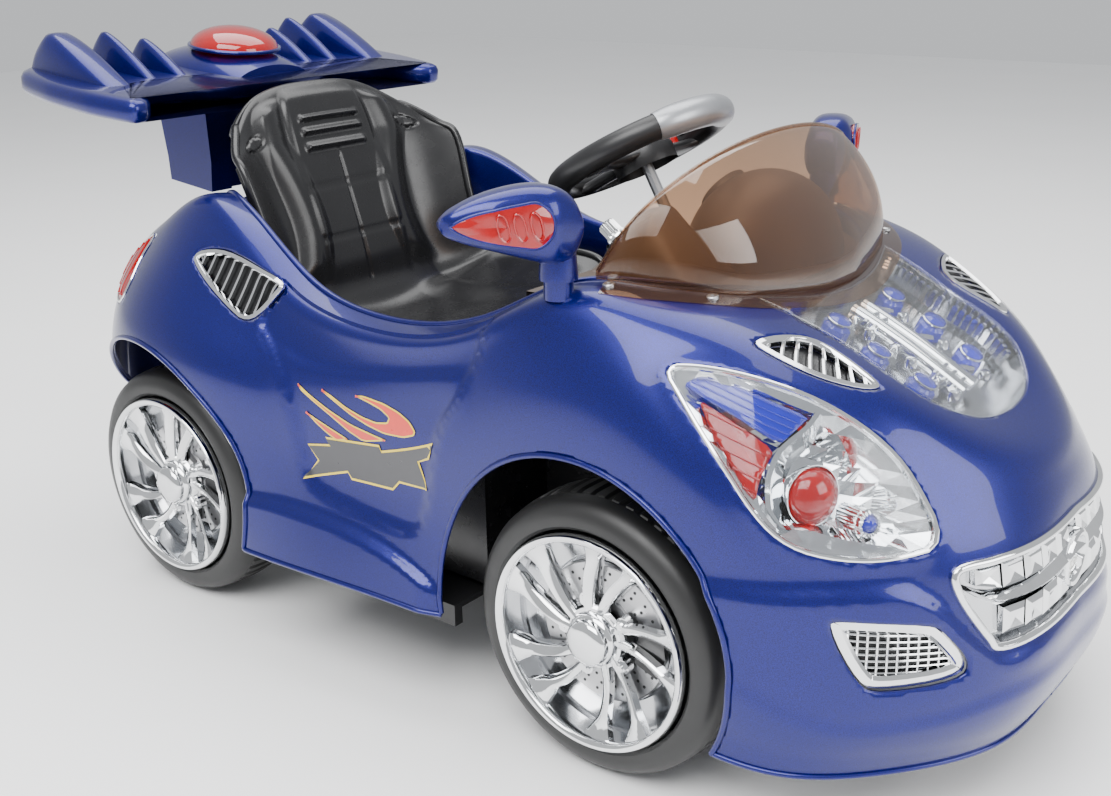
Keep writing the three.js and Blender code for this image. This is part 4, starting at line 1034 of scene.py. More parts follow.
def chrome_vent(name, edge, node, wide, bars, direction):
    frame_part = frame_round(edge, wide)
    inner = inset_edge(edge, wide * 0.9)
    paired(f"{name}_frame", frame_part, CHROME, node, thick=1.0)
    crossing = slats(inner, bars, direction, -1.2, 4.0, 1.5)
    paired(f"{name}_slats", gathered(crossing), CHROME, sharp=25)
    paired(f"{name}_back", patch(inner, -7.0), BLACK, thick=1.0)


chrome_vent("hood_vent", HOOD_EDGE, "hood_vent", 6.5, 8, "v")
chrome_vent("shoulder_vent", SHOULDER_EDGE, "shoulder_vent", 6.5, 9, "v")


def fog_grille():
    inner = inset_edge(FOG_EDGE, 9)
    paired("fog_frame", frame_round(FOG_EDGE, 10, 1.6), CHROME, "fog_grille", thick=1.0)
    lattice = slats(inner, 8, "u", -2.0, 3.0, 0.8) + slats(inner, 12, "v", -2.0, 3.0, 0.8)
    paired("fog_lattice", gathered(lattice), CHROME, sharp=25)
    paired("fog_back", patch(inner, -8.0), BLACK, thick=1.0)


def tail_light():
    lamp = patch(inset_edge(TAIL_EDGE, 1.2), domed(0.6, 2.2, 0, 12))
    paired("tail_lamp", lamp, RED, "tail_light", thick=1.8)
    paired("tail_lamp_rim", edge_tube(TAIL_EDGE, 1.6, 0.3), CHROME)
    ribs = slats(inset_edge(TAIL_EDGE, 5), 4, "v", 2.6, 1.5, 1.0)
    paired("tail_lamp_ribs", gathered(ribs), RED)


headlight()
headlight_lamps()
headlight_wedges()
fog_grille()
tail_light()


# ---------- front grille and badge ----------

GRILLE_TOP = [[13.38, 5.06], [13.7, 4.95], [14.05, 4.88], [14.6, 4.82], [15, 4.78]]
GRILLE_FOOT = [[13.38, 5.4], [13.65, 5.88], [13.8, 6.02], [14.3, 6.03], [15, 6]]
BADGE = {"x": 553, "z": 197, "r": 25}


def grille_level(u, share):
    """The line number a share of the way down the grille at a station."""
    top = np.interp(u, *np.array(GRILLE_TOP).T)
    foot = np.interp(u, *np.array(GRILLE_FOOT).T)
    return top + (foot - top) * share


def grille_ring():
    curve = rounded(GRILLE[1:-1], 6, closed=False)
    points = surface(*curve.T)
    points[[0, -1], 1] = 0
    return ring_both(points)


def grille_frame():
    ring = grille_ring()
    mesh = make_mesh("grille_frame", *tube(ring + [1.0, 0, 0], 3.6, closed=True, sides=10))
    piece("grille_frame", mesh, CHROME, "car", ["front_grille"], sharp=60)
    us = np.linspace(13.45, 15, 60)
    rows = []
    for share, depth in ((0.0, -1), (0.04, -9), (0.5, -10), (0.96, -9), (1.0, -1)):
        level = grille_level(us, share)
        rows.append(surface(us, level) + normals(us, level) * depth)
    back = make_mesh("grille_back", *across_middle(loft(rows)))
    piece("grille_back", back, CHROME_PAINTED_SHADE, "car", closed=False)


def faceted_cell(u0, u1, low, high):
    """(points, faces) of one clear cell: a four-sided pyramid with its top cut off."""
    corners = [(u0, low), (u1, low), (u1, high), (u0, high)]
    uv = np.array([(u, grille_level(u, share)) for u, share in corners])
    middle = uv.mean(axis=0)
    rows = []
    for scale, depth in ((0.97, -9), (0.94, -4), (0.6, -1.4), (0.001, -3.2)):
        spot = middle + (uv - middle) * scale
        rows.append(surface(*spot.T) + normals(*spot.T) * depth)
    return loft(rows, closed_columns=True)


def grille_cells():
    edges = np.linspace(13.56, 14.9, 6)
    rows = {"upper": (0.08, 0.4), "lower": (0.62, 0.93)}
    for name, (low, high) in rows.items():
        first = 0 if name == "upper" else 1
        cells = [faceted_cell(a, b, low, high) for a, b in zip(edges[first:-1], edges[first + 1 :])]
        paired(f"grille_cells_{name}", gathered(cells), CHROME, sharp=10)


def grille_bar():
    """The smooth bar across the grille, deepest at the badge."""
    us = np.linspace(13.5, 15, 40)
    wide = np.interp(us, [13.5, 14.6, 15], [0.05, 0.1, 0.16])
    rows = []
    for across in (-1, -0.7, 0, 0.7, 1):
        level = grille_level(us, 0.51 + across * wide)
        rows.append(surface(us, level) + normals(us, level) * (0.8 - 7 * across**2))
    bar = make_mesh("grille_bar", *across_middle(loft(rows)))
    piece("grille_bar", bar, CHROME, "car", closed=False)


def front_disc(name, profile, material, replaces=()):
    """A piece turned about the car's fore-and-aft axis at the badge, from [radius, x] points."""
    angles = around(64)
    rows = [
        np.stack([np.full(64, BADGE["x"] + x), r * np.cos(angles), BADGE["z"] + r * np.sin(angles)], axis=1)
        for r, x in profile
    ]
    piece(name, make_mesh(name, *loft(rows, closed_columns=True)), material, "car", replaces)


def grille_badge():
    r = BADGE["r"]
    ring = [
        (r - 7, -12), (r - 7, -1), (r - 5.5, 1.6), (r - 2.5, 2.4), (r - 0.4, 0.6), (r, -3), (r, -14),
        (r - 7, -12),
    ]
    front_disc("badge_ring", ring, CHROME, ["grille_badge"])
    disc = [(r - 6.6, -6), (r - 7, -4), (8, -2.4), (0.1, -2)]
    front_disc("badge_disc", disc, WHITE_DIM)
    groove = [(10.5, -3.5), (10.5, -1.8), (12.5, -1.8), (12.5, -3.5), (10.5, -3.5)]
    front_disc("badge_groove", groove, CHROME)


grille_frame()
grille_cells()
grille_bar()
grille_badge()


# ---------- engine bay ----------

CAP_SPOTS = [(362, 50), (400, 53), (438, 46)]


def skin_height(x, y, depth=0.0):
    """The height of the skin at a place seen from above, less a depth along its normal."""
    u, v = locate([[x, -abs(y)]], [0, 1], (0, 5))[0]
    return float((surface(u, v) - normals(u, v) * depth)[2])


def engine_outline():
    """The engine opening's right half, closed along the middle of the hood."""
    closed = opened(ENGINE_EDGE, 0)
    return closed[np.r_[True, np.abs(np.diff(closed, axis=0)).max(axis=1) > 1e-6]]


def engine_cover():
    glass = make_mesh("engine_glass", *across_middle(patch(engine_outline(), 0.5)))
    solidify(piece("engine_glass", glass, CLEAR, "car", ["engine_cover"], sharp=60), 1.8)
    edge = surface(*ENGINE_EDGE.T) + normals(*ENGINE_EDGE.T) * 0.4
    edge[[0, -1], 1] = 0
    ring = ring_both(edge)
    rim = make_mesh("engine_glass_rim", *tube(ring, 1.5, closed=True, sides=8))
    piece("engine_glass_rim", rim, CLEAR, "car", sharp=60)


def engine_tray():
    tray = make_mesh("engine_tray", *across_middle(patch(engine_outline(), -25.0)))
    piece("engine_tray", tray, CHROME_PAINTED_SHADE, "car", ["engine_block"], closed=False)
    place, out = surface(*ENGINE_EDGE.T), normals(*ENGINE_EDGE.T)
    wall = loft([place - out * 1.5, place - out * 14, place - out * 25])
    mesh = make_mesh("engine_wall", *across_middle(wall))
    piece("engine_wall", mesh, CHROME_PAINTED_SHADE, "car", closed=False)


def engine_tubes():
    """Two long tubes down the middle, the ribbed collars round them and a pipe out to each cap."""
    xs = np.linspace(350, 452, 24)
    tubes = []
    for y in (-9, 9):
        path = np.array([(x, y, skin_height(x, y, 15)) for x in xs])
        tubes.append(tube(path, 7.0, sides=16))
    for x in (366, 374, 430, 438, 446):
        top = skin_height(x, 0, 15)
        path = np.array([(x, y, top + 2.5 * math.cos(y / 12)) for y in np.linspace(-19, 19, 12)])
        tubes.append(tube(path, 3.2, sides=10))
    mesh = make_mesh("engine_tubes", *gathered(tubes))
    piece("engine_tubes", mesh, CHROME, "car", sharp=50)
    pipes = []
    for x, y in CAP_SPOTS:
        low = skin_height(x, y, 21)
        bends = [(x - 8, -14, skin_height(x, 14, 16)), (x - 4, -26, low + 3), (x, -38, low)]
        pipes.append(tube(rounded(bends, 6, closed=False), 4.5, sides=12))
        pipes.append(turned_on((x + 15, -32, low), (0, 0, 1), [(0.1, 4), (4, 3.5), (5, 0), (5, -4)], 16))
    paired("engine_pipes", gathered(pipes), CHROME, sharp=50)


def engine_caps():
    block = [
        (9, -23), (12, -22), (12, -12), (9.5, -9.5), (9.5, -8.5), (10.2, -8), (9, -5.6), (6, -4.6),
        (0.1, -4),
    ]
    collar = [(10, 0), (11.2, 0.6), (11.2, 1.6), (10, 2), (10, 0)]
    caps, rings = [], []
    for u, v in locate([[x, -y] for x, y in CAP_SPOTS], [0, 1], (0, 5)):
        spot, out = surface(u, v), normals(u, v)
        caps.append(turned_on(spot, out, block, 36, 8, 0.05))
        rings.append(turned_on(spot - out * 8, out, collar, 24))
    paired("engine_cap_blocks", gathered(caps), BLUE_CLEAR, "engine_caps")
    paired("engine_cap_rings", gathered(rings), CHROME)


def engine_teeth():
    """The row of upright teeth round the front of the engine."""
    edge = ENGINE_EDGE[6:-2]
    place = surface(*edge.T)
    out = normals(*edge.T)
    lengths = np.r_[0, np.cumsum(np.linalg.norm(np.diff(place, axis=0), axis=1))]
    teeth = []
    for s in np.arange(46, lengths[-1], 7.5):
        k = int(np.searchsorted(lengths, s)) - 1
        t = (s - lengths[k]) / (lengths[k + 1] - lengths[k])
        spot, normal = place[k] * (1 - t) + place[k + 1] * t, out[k]
        tangent = (place[k + 1] - place[k]) / np.linalg.norm(place[k + 1] - place[k])
        inward = np.cross(tangent, normal)
        if inward @ ([400, 0, 0] - spot) < 0:
            inward = -inward
        base = spot + inward * 7
        rows = []
        for depth, wide in ((-20, 2.6), (-6, 2.6), (-4.6, 1.6)):
            corners = [(-wide, -2.2), (wide, -2.2), (wide, 2.2), (-wide, 2.2)]
            rows.append(np.array([base + normal * depth + tangent * a + inward * b for a, b in corners]))
        teeth.append(loft(rows, closed_columns=True, caps=True))
    paired("engine_teeth", gathered(teeth), CHROME, sharp=20)


engine_cover()
engine_tray()
engine_tubes()
engine_caps()
engine_teeth()


# ---------- wheels ----------

WHEEL_Y = 205
SPOKES = 10
SWIRL = math.radians(20)

# [radius, distance out from the wheel's middle] round the tyre; the tread's ribs are cut into its crown.
TYRE_PROFILE = [
    (90, -6), (91, -34), (96, -39.4), (112, -39), (119.5, -33), (122.6, -24.5), (121.4, -23.4),
    (123.6, -22), (124.8, -12), (125, 0), (124.8, 10), (123.8, 17.5), (122.2, 18.6), (123.6, 20),
    (122.4, 27), (119.5, 33), (114, 37.6), (107, 39.6), (101, 39.4), (98.2, 37), (97.6, 30), (97.6, 12),
]
TREAD = {"ribs": 54, "from": -22, "to": 17.5, "deep": 2.2}


def wheel_place(points, axle, side):
    """Points of the wheel's own frame, [fore, out, up], where they lie on the car."""
    x, _, z = AXLE[axle]
    points = np.asarray(points, float)
    return np.stack([x + points[:, 0], side * (WHEEL_Y + points[:, 1]), z + points[:, 2]], axis=1)


def tyre():
    segments = TREAD["ribs"] * 6
    angles = around(segments)
    cut = np.where(np.arange(segments) % 6 < 2, 1.0, 0.0)
    rows = []
    for r, out in TYRE_PROFILE:
        deep = TREAD["deep"] if TREAD["from"] <= out <= TREAD["to"] and r > 122.5 else 0
        radius = r - deep * cut
        x, z = radius * np.cos(angles), radius * np.sin(angles)
        rows.append(np.stack([x, np.full(segments, out), z], axis=1))
    return loft(rows, closed_columns=True)


def spoke(angle):
    """One twisted spoke, narrow at the hub and flared where it meets the rim."""
    stations = np.linspace(0, 1, 18)
    rows = []
    for t in stations:
        r = 20 + 71 * t
        turn = angle + SWIRL * (1 - t) ** 1.3
        half = 4.2 + 2.2 * t + 9.5 * max(0, t - 0.72) ** 1.25 * 4
        crown = 30 + 6 * t**2 + 5 * max(0, t - 0.8) * 3
        lean = 0.55 * math.sin(math.pi * t)
        section = []
        for a, h in ((-1, -9), (-1, -1.6), (-0.72, 0.4), (0, 1.2), (0.72, 0.4), (1, -1.6), (1, -9)):
            phi = turn + a * half / r
            out = crown + h + lean * a * 4.5
            section.append((r * math.cos(phi), out, r * math.sin(phi)))
        rows.append(section)
    return loft(rows, closed_columns=True, caps=True)


def spoke_angles():
    pairs = SPOKES // 2
    lean = math.radians(14)
    return [2 * math.pi * k / pairs + s * lean for k in range(pairs) for s in (-1, 1)]


def small_discs(radius, count, size, out, tall, start=0.0, sides=8):
    made = []
    for k in range(count):
        angle = start + 2 * math.pi * k / count
        x, z = radius * math.cos(angle), radius * math.sin(angle)
        ring = [(x + size * math.cos(t), z + size * math.sin(t)) for t in around(sides)]
        rows = [[(a, out, b) for a, b in ring], [(a, out + tall, b) for a, b in ring]]
        made.append(loft(rows, closed_columns=True, caps=True))
    return made


def wheel_parts():
    """Each wheel piece's name, shape, material, finish slot and the node it stands for."""
    rim = [
        (91.5, 14), (90, 34), (88.6, 40), (89, 43.6), (91, 45.6), (94.5, 46), (96, 44), (96.2, 34),
        (95, 30),
    ]
    barrel = [(92, 30), (91, 12), (66, 9), (64, 11), (26, 11), (26, 9)]
    disc = [(24, 12), (24, 17), (33, 17.6), (34, 15.5), (36, 17), (62, 17), (63, 16), (63, 12)]
    dome = [(24, 24), (24, 33), (21.5, 37), (20.4, 37.6), (20, 42), (17, 45), (11, 46.6), (0.1, 47)]
    web = [(20, 20), (26, 22), (29, 26), (27, 29.5), (20, 31)]
    circles = ((42, 18, 0), (49, 22, 0.1), (56, 26, 0))
    holes = [hole for r, count, start in circles for hole in small_discs(r, count, 1.5, 17, 0.25, start)]
    bolts = small_discs(33, 5, 4.6, 24, 6, 0.63, 6) + small_discs(33, 5, 3.0, 29, 2.6, 0.63, 12)
    wells = small_discs(33, 5, 6.6, 20, 7.5, 0.63, 20)
    spokes = gathered([spoke(a) for a in spoke_angles()])
    caliper = prism([(36, -14), (58, -22), (66, -2), (64, 18), (40, 14)], 17.5, 23)
    return [
        ("tyre", tyre(), TREAD_RUBBER, "tread_plastic", "tyre", 28),
        ("spokes", spokes, CHROME, "chrome_plastic", "hubcap", 40),
        ("rim", lathe(rim, 96), CHROME, "chrome_plastic", None, 40),
        ("barrel", lathe(barrel, 96), CHROME_PAINTED_SHADE, "chrome_plastic", None, 40),
        ("disc", lathe(disc, 72), STEEL, "steel", None, 30),
        ("disc_holes", gathered(holes), BLACK, "black_plastic", None, 30),
        ("caliper", caliper, BLACK, "black_plastic", None, 30),
        ("hub", lathe(dome, 56), CHROME, "chrome_plastic", None, 40),
        ("web", lathe(web, 56), CHROME, "chrome_plastic", None, 40),
        ("bolt_wells", gathered(wells), CHROME, "chrome_plastic", None, 30),
        ("bolts", gathered(bolts), CHROME, "chrome_plastic", None, 30),
    ]


def wheels():
    parts = wheel_parts()
    for axle in AXLE:
        for side_name, side in SIDES.items():
            for name, (points, faces), material, slot, node, sharp in parts:
                mesh = make_mesh(f"{axle}_{name}_{side_name}", wheel_place(points, axle, side), faces)
                nodes = [f"{axle}_{node}_{side_name}"] if node else []
                piece(mesh.name, mesh, material, f"{axle}_wheel_{side_name}", nodes, sharp)


wheels()


# ---------- seat ----------

# Rows across the seat, from its front edge over the cushion and up the back: the middle's x and z,
# the half width, how far the sides come forward and up from there, and how far the top corners drop.
SEAT_ROWS = [
    (-48, 250, 184, 0, 20, 0), (-52, 284, 184, 0, 26, 0), (-74, 296, 184, 0, 30, 0),
    (-150, 290, 183, 0, 36, 0), (-208, 288, 174, 12, 36, 0), (-240, 306, 164, 26, 24, 0),
    (-262, 370, 153, 34, 10, 0), (-288, 446, 158, 36, 4, 0), (-306, 496, 150, 32, 0, 30),
    (-322, 524, 122, 16, 0, 36), (-330, 520, 118, 14, 0, 40),
]


def hump(value, middle, half):
    """A rounded ridge: 1 at the middle, falling to 0 at half a width away."""
    return np.clip(1 - ((value - middle) / half) ** 2, 0, 1) ** 1.5


def plateau(value, low, high, soft):
    return smooth_step(value, low, low + soft) * (1 - smooth_step(value, high - soft, high))


def seat_relief(t, a):
    """Height of the seat's moulded shapes at row t and share a of the half width."""
    side = np.abs(a)
    back = plateau(t, 5.1, 8.6, 0.5)
    bolster = 9 * hump(side, 0.55 - 0.12 * hump(t, 6.2, 1.2), 0.16) * back
    pad = 5 * (1 - smooth_step(side, 0.34, 0.42)) * plateau(t, 5.0, 8.9, 0.6)
    stitches = hump(t, 5.9, 0.05) + hump(t, 6.6, 0.05)
    seams = -1.6 * (hump(a, 0, 0.018) * plateau(t, 5.1, 7.1, 0.1) + (side < 0.4) * stitches)
    ribs = sum(hump(t, row, 0.1) for row in (7.2, 7.5, 7.8)) * plateau(a, -0.3, 0.3, 0.05) * 4.5
    boss_a, boss_t = (side - 0.72) * 158, (t - 7.55) * 70
    gap = np.hypot(boss_a, boss_t)
    boss = 1.8 * (1 - smooth_step(gap, 10, 12)) - 1.6 * hump(gap, 13, 2.6)
    thigh = 7 * hump(side, 0.62, 0.3) * plateau(t, 1.2, 4.8, 0.8)
    dish = -9 * hump(a, 0, 0.55) * plateau(t, 2.0, 4.9, 0.9)
    return bolster + pad + seams + ribs + boss * back + thigh + dish


def seat():
    count = 181
    rows = rounded(SEAT_ROWS, 20, closed=False)
    across = np.linspace(-1, 1, count)
    wing = np.maximum(0, (np.abs(across) - 0.6) / 0.4) ** 1.5
    grid = []
    for x, z, half, forward, up, drop in rows:
        height = z + up * wing - drop * np.abs(across) ** 3
        grid.append(np.stack([x + forward * wing, across * half, height], axis=1))
    grid = np.array(grid)
    out = np.cross(np.gradient(grid, axis=1), np.gradient(grid, axis=0))
    out /= np.maximum(np.linalg.norm(out, axis=2, keepdims=True), 1e-9)
    out *= np.sign((out @ np.array([0.6, 0, 0.8])).mean())
    t = np.linspace(0, len(SEAT_ROWS) - 1, len(grid))[:, None] * np.ones(count)
    a = across[None, :] * np.ones((len(grid), 1))
    grid = grid + out * seat_relief(t, a)[..., None]
    mesh = make_mesh("seat_shell", *loft(grid))
    made = piece("seat_shell", mesh, BLACK_FINE, "car", ["seat"], sharp=50)
    solidify(made, 7)
    border = np.vstack([grid[:, 0], grid[-1, 1:-1], grid[::-1, -1]])
    edge = make_mesh("seat_edge", *tube(border[::3], 4.5, sides=10))
    piece("seat_edge", edge, BLACK_FINE, "car", sharp=60)


seat()


# ---------- rear wing ----------

WING_AT = np.array([-345, 0, 501])
WING_TILT = math.radians(5.8)
WING_THICK = 24
WING_PLAN = [
    (-40, 66), (-63, 112), (-59, 170), (-8, 190), (8, 206), (6, 224), (-55, 236), (-125, 236),
    (-190, 225), (-214, 205), (-214, 170), (-202, 120), (-190, 66),
]
LAMP_AT = np.array([-110, 0, 45.5])
# Each fin's middle, half width, back, front and height.
FINS = [(186, 21, -206, -62, 42), (132, 9, -194, -80, 40), (92, 9, -176, -80, 32)]


def wing_place(points):
    """Points of the wing's own frame where they lie on the car."""
    x, y, z = np.asarray(points, float).T
    c, s = math.cos(WING_TILT), math.sin(WING_TILT)
    return np.stack([x * c + z * s, y, z * c - x * s], axis=1) + WING_AT


def wing_board():
    """The board: its outline softened, its edges rolled over at top and foot."""
    half = np.array(WING_PLAN, float)
    outline = np.vstack([half, (half * [1, -1])[::-1]])
    outline = rounded(softened(outline, 1, 0.2), 6)
    rows = []
    for inset, z in ((9, 0), (3, 1.5), (0, 6), (0, 17), (2.5, 21.5), (8, 24), (16, 24.4)):
        near = inset_edge_plan(outline, inset)
        rows.append(np.column_stack([near, np.full(len(near), z)]))
    return loft(rows, closed_columns=True, caps=True)


def inset_edge_plan(outline, inset):
    """A closed plan outline moved inwards."""
    ahead, behind = np.roll(outline, -1, axis=0), np.roll(outline, 1, axis=0)
    along = ahead - behind
    along /= np.linalg.norm(along, axis=1, keepdims=True)
    inward = np.stack([-along[:, 1], along[:, 0]], axis=1)
    area = np.sum(outline[:, 0] * ahead[:, 1] - ahead[:, 0] * outline[:, 1])
    return outline + inward * inset * np.sign(area)


def fin(y, half, back, front, tall):
    """One rounded fin, steep behind and running down to a point in front."""
    rows = []
    for t in np.linspace(0, 1, 22):
        x = back + 2 + (front - back - 4) * t
        top = tall * min(1, (t / 0.2) ** 0.5) * (1 - max(0, (t - 0.22) / 0.78) ** 1.35)
        wide = half * (0.55 + 0.45 * math.sin(math.pi * min(1, 0.18 + 0.75 * t)))
        power = 0.55 if half > 12 else 0.75
        section = []
        for a in np.linspace(math.pi, 0, 15):
            across = y + wide * signed_power(math.cos(a), power)
            section.append((x, across, WING_THICK - 3 + (top + 2) * math.sin(a) ** power))
        rows.append(section)
    return loft(rows, closed_columns=True, caps=True)


def wing_piece(name, part, material, replaces=()):
    points, faces = part
    mesh = make_mesh(name, wing_place(points), faces)
    piece(name, mesh, material, "car", replaces, sharp=50)


def wing():
    wing_piece("wing_board", wing_board(), PAINT, ["spoiler_wing"])
    fins = [fin(*values) for values in FINS]
    fins += [mirrored(made) for made in fins]
    wing_piece("wing_fins", gathered(fins), PAINT)
    hood = []
    for x in np.linspace(-188, -42, 24):
        t = (x + 188) / 146
        top = 44 * math.sin(math.pi * (0.2 + 0.62 * t)) ** 0.5
        wide = 68 * (0.86 + 0.14 * math.sin(math.pi * t))
        arc = np.linspace(0, math.pi, 25)
        hood.append([(x, wide * math.cos(a), 2 + top * math.sin(a) ** 0.7) for a in arc])
    wing_piece("wing_hood", loft(hood, closed_columns=True, caps=True), PAINT)


def wing_lamp():
    rows = []
    for phi in np.linspace(0, math.pi / 2, 14):
        wide, high = math.cos(phi), math.sin(phi)
        ring = [(51 * wide * math.cos(a), 49 * wide * math.sin(a), 23 * high) for a in around(48)]
        rows.append(np.array(ring) + LAMP_AT)
    lamp = loft(rows, closed_columns=True, caps=True)
    wing_piece("wing_lamp", lamp, RED, ["spoiler_lamp"])
    ring = np.array([(52 * math.cos(a), 50 * math.sin(a), 0) for a in around(64)]) + LAMP_AT
    mesh = make_mesh("wing_lamp_ring", *tube(wing_place(ring), 2.2, closed=True))
    piece("wing_lamp_ring", mesh, PAINT, "car")


wing()
wing_lamp()


# ---------- mirrors ----------

MIRROR_AT = (199, 218)
MIRROR_SWEEP = {"left": math.radians(15), "right": math.radians(29)}
MIRROR_FRONT = [
    (15, 445), (17, 474), (6, 492), (-20, 499), (-60, 494), (-92, 480), (-97, 470), (-88, 460),
    (-40, 444), (0, 431),
]
INDICATOR = [(-14, 452), (-14, 487), (-50, 486), (-88, 476), (-88, 467), (-50, 455)]
LENS_EDGE = rounded(softened(INDICATOR, 1, 0.3), 6)


def mirror_place(points, side_name):
    """Points of the right mirror's own frame, [fore, across, up], where they lie on the car."""
    side = SIDES[side_name]
    x, y, z = np.asarray(points, float).T
    y = y * -side
    turn = side * MIRROR_SWEEP[side_name]
    c, s = math.cos(turn), math.sin(turn)
    return np.stack([x * c - y * s + MIRROR_AT[0], x * s + y * c + side * MIRROR_AT[1], z], axis=1)


def mirror_depth(y):
    """How far the housing reaches forward and back at a place along it."""
    front = np.interp(-y, [-16, 10, 58, 88, 97], [15, 25.4, 19.4, 7.6, -5])
    back = np.interp(-y, [-16, -10, 30, 86, 97], [-14, -19.4, -24.4, -17.4, -7])
    return front, back


def mirror_housing():
    """Rings across the housing from its inner end to its tip, rounded in section."""
    outline = rounded(softened(MIRROR_FRONT, 1, 0.25), 10)
    rows = []
    inner, tip = outline[:, 0].max() - 0.6, outline[:, 0].min() + 0.6
    ys = inner - (inner - tip) * (1 - np.cos(np.linspace(0, math.pi, 40))) / 2
    for y in ys:
        low, high = crossings(outline, y)
        front, back = mirror_depth(y)
        middle, half = (low + high) / 2, (high - low) / 2
        section = []
        for a in around(36):
            ca, sa = math.cos(a), math.sin(a)
            reach = front if ca > 0 else -back
            x = signed_power(ca, 0.7) * reach * 0.98
            section.append((x, y, middle + signed_power(sa, 0.75) * half))
        rows.append(section)
    return loft(rows, closed_columns=True, caps=True)


def crossings(outline, y):
    """The lowest and highest place where a closed outline meets a line."""
    heights = []
    for (y0, z0), (y1, z1) in zip(outline, np.roll(outline, -1, axis=0)):
        if (y0 - y) * (y1 - y) <= 0 and y0 != y1:
            heights.append(z0 + (z1 - z0) * (y - y0) / (y1 - y0))
    return min(heights), max(heights)


def mirror_lens():
    """The red lens let into the front of the housing, with three slanted oval slots."""
    middle = LENS_EDGE.mean(axis=0)
    rows = []
    for scale, out in ((1.0, -1.5), (1.0, 0.8), (0.96, 2.2), (0.6, 2.6), (0.02, 2.8)):
        spots = middle + (LENS_EDGE - middle) * scale
        rows.append([(lens_depth(y) + out, y, z) for y, z in spots])
    return loft(rows, closed_columns=True)


def lens_depth(y):
    return float(np.interp(-y, [-16, 10, 58, 88, 97], [20, 25.0, 19.0, 7.2, -5]))


def mirror_slots():
    slots = []
    for y in (-27, -40, -53):
        ring = []
        for a in around(28):
            dy, dz = 4.2 * math.cos(a), 10.5 * signed_power(math.sin(a), 0.7)
            ring.append((lens_depth(y + dy) + 3.2, y + dy - 0.22 * dz, 470 + dz))
        slots.append(tube(ring, 0.9, closed=True, sides=6))
    return gathered(slots)


def mirrors():
    rim = [(lens_depth(y) + 1.2, y, z) for y, z in LENS_EDGE]
    foot = [(12, 405), (12, 424), (15.8, 421), (15.8, 424), (14, 446)]
    stalk = loft(upright(foot, 40), closed_columns=True, caps=True)
    parts = [
        ("housing", mirror_housing(), PAINT, "body_blue", "mirror_housing"),
        ("stalk", stalk, PAINT, "body_blue", None),
        ("lens", mirror_lens(), RED, "red_plastic", "mirror_indicator"),
        ("lens_rim", tube(rim, 1.3, closed=True, sides=8), PAINT, "body_blue", None),
        ("slots", mirror_slots(), RED, "red_plastic", None),
    ]
    for side_name, side in SIDES.items():
        for name, (points, faces), material, slot, node in parts:
            mesh = make_mesh(f"mirror_{name}_{side_name}_skin", mirror_place(points, side_name), faces)
            nodes = [f"{node}_{side_name}"] if node else []
            piece(mesh.name, mesh, material, f"mirror_{side_name}", nodes, sharp=50)


mirrors()


# ---------- steering wheel ----------

STEER_AT = np.array([123, 0, 487])
STEER_X, STEER_Z = np.array([0.866, 0, 0.5]), np.array([-0.5, 0, 0.866])
STEER_R, STEER_TUBE = 80, 12


def steer_place(points):
    x, y, z = np.asarray(points, float).T
    return STEER_AT + x[:, None] * STEER_X + y[:, None] * np.array([0, 1, 0]) + z[:, None] * STEER_Z


def steer_piece(name, part, material, nodes=(), body="steering"):
    points, faces = part
    piece(name, make_mesh(name, steer_place(points), faces), material, body, nodes, sharp=50)


def rim_bar(first, last, count, closed=False):
    angles = np.linspace(first, last, count, endpoint=not closed)
    return [(STEER_R * math.cos(a), STEER_R * math.sin(a), 0) for a in angles]


def steering():
    rim = tube(rim_bar(0, 2 * math.pi, 96, True), STEER_TUBE - 0.3, closed=True, sides=20)
    steer_piece("wheel_rim", rim, BLACK, ["steering_wheel"])
    hub_profile = [(29.6, -19.6), (30, -6), (28, 1.6), (25, 3), (10, 3.6), (0.1, 3.8)]
    hub = loft(upright(hub_profile, 56), closed_columns=True)
    steer_piece("wheel_hub", hub, BLACK)
    spokes = [spoke_bar((0, side * 24), (0, side * 72), 13, 9) for side in (-1, 1)]
    spokes.append(spoke_bar((-24, 0), (-72, 0), 11, 9))
    steer_piece("wheel_spokes", gathered(spokes), BLACK)
    half = math.radians(40)
    path = rim_bar(-half, half, 40)
    share = np.linspace(-1, 1, 40)
    thick = STEER_TUBE + 2.0 - 1.6 * np.abs(share) ** 6
    steer_piece("grip_sleeve", tube(path, thick, sides=24), SILVER, ["wheel_grip"])
    dots = []
    for k in range(6):
        a = math.radians(60 + 9 * k)
        for s in (-1, 1):
            spot = np.array([STEER_R * math.cos(a * s), STEER_R * math.sin(a * s), 0]) * 0.88 + [0, 0, 6]
            dots.append(dome_on(spot, (-0.4 * math.cos(a), -0.4 * math.sin(a) * s, 1), 4.2, 6, 5, 16))
    steer_piece("wheel_bumps", gathered(dots), BLACK)
    buttons = (("horn", 50, RED, "red_plastic"), ("music", -50, SILVER, "silver_plastic"))
    for name, y, material, slot in buttons:
        cap = turned_on((0, y, -4), (0, 0, 1), [(8, 0), (8, 9), (7, 12.5), (4, 13), (0.1, 13)], 32)
        steer_piece(f"{name}_cap", cap, material, [f"{name}_button"], name)


def spoke_bar(start, end, half, thick):
    """A rounded flat bar between two places on the wheel, flaring where it meets the rim."""
    start, end = np.array(start, float), np.array(end, float)
    along = (end - start) / np.linalg.norm(end - start)
    aside = np.array([-along[1], along[0]])
    rows = []
    for t in np.linspace(0, 1, 12):
        spot = start + (end - start) * t
        wide = half * (0.85 + 0.5 * (2 * t - 1) ** 4)
        section = []
        for a in around(20):
            across = signed_power(math.cos(a), 0.5) * wide
            section.append((*(spot + aside * across), -7 + math.sin(a) * thick * 0.55))
        rows.append(section)
    return loft(rows, closed_columns=True, caps=True)


steering()


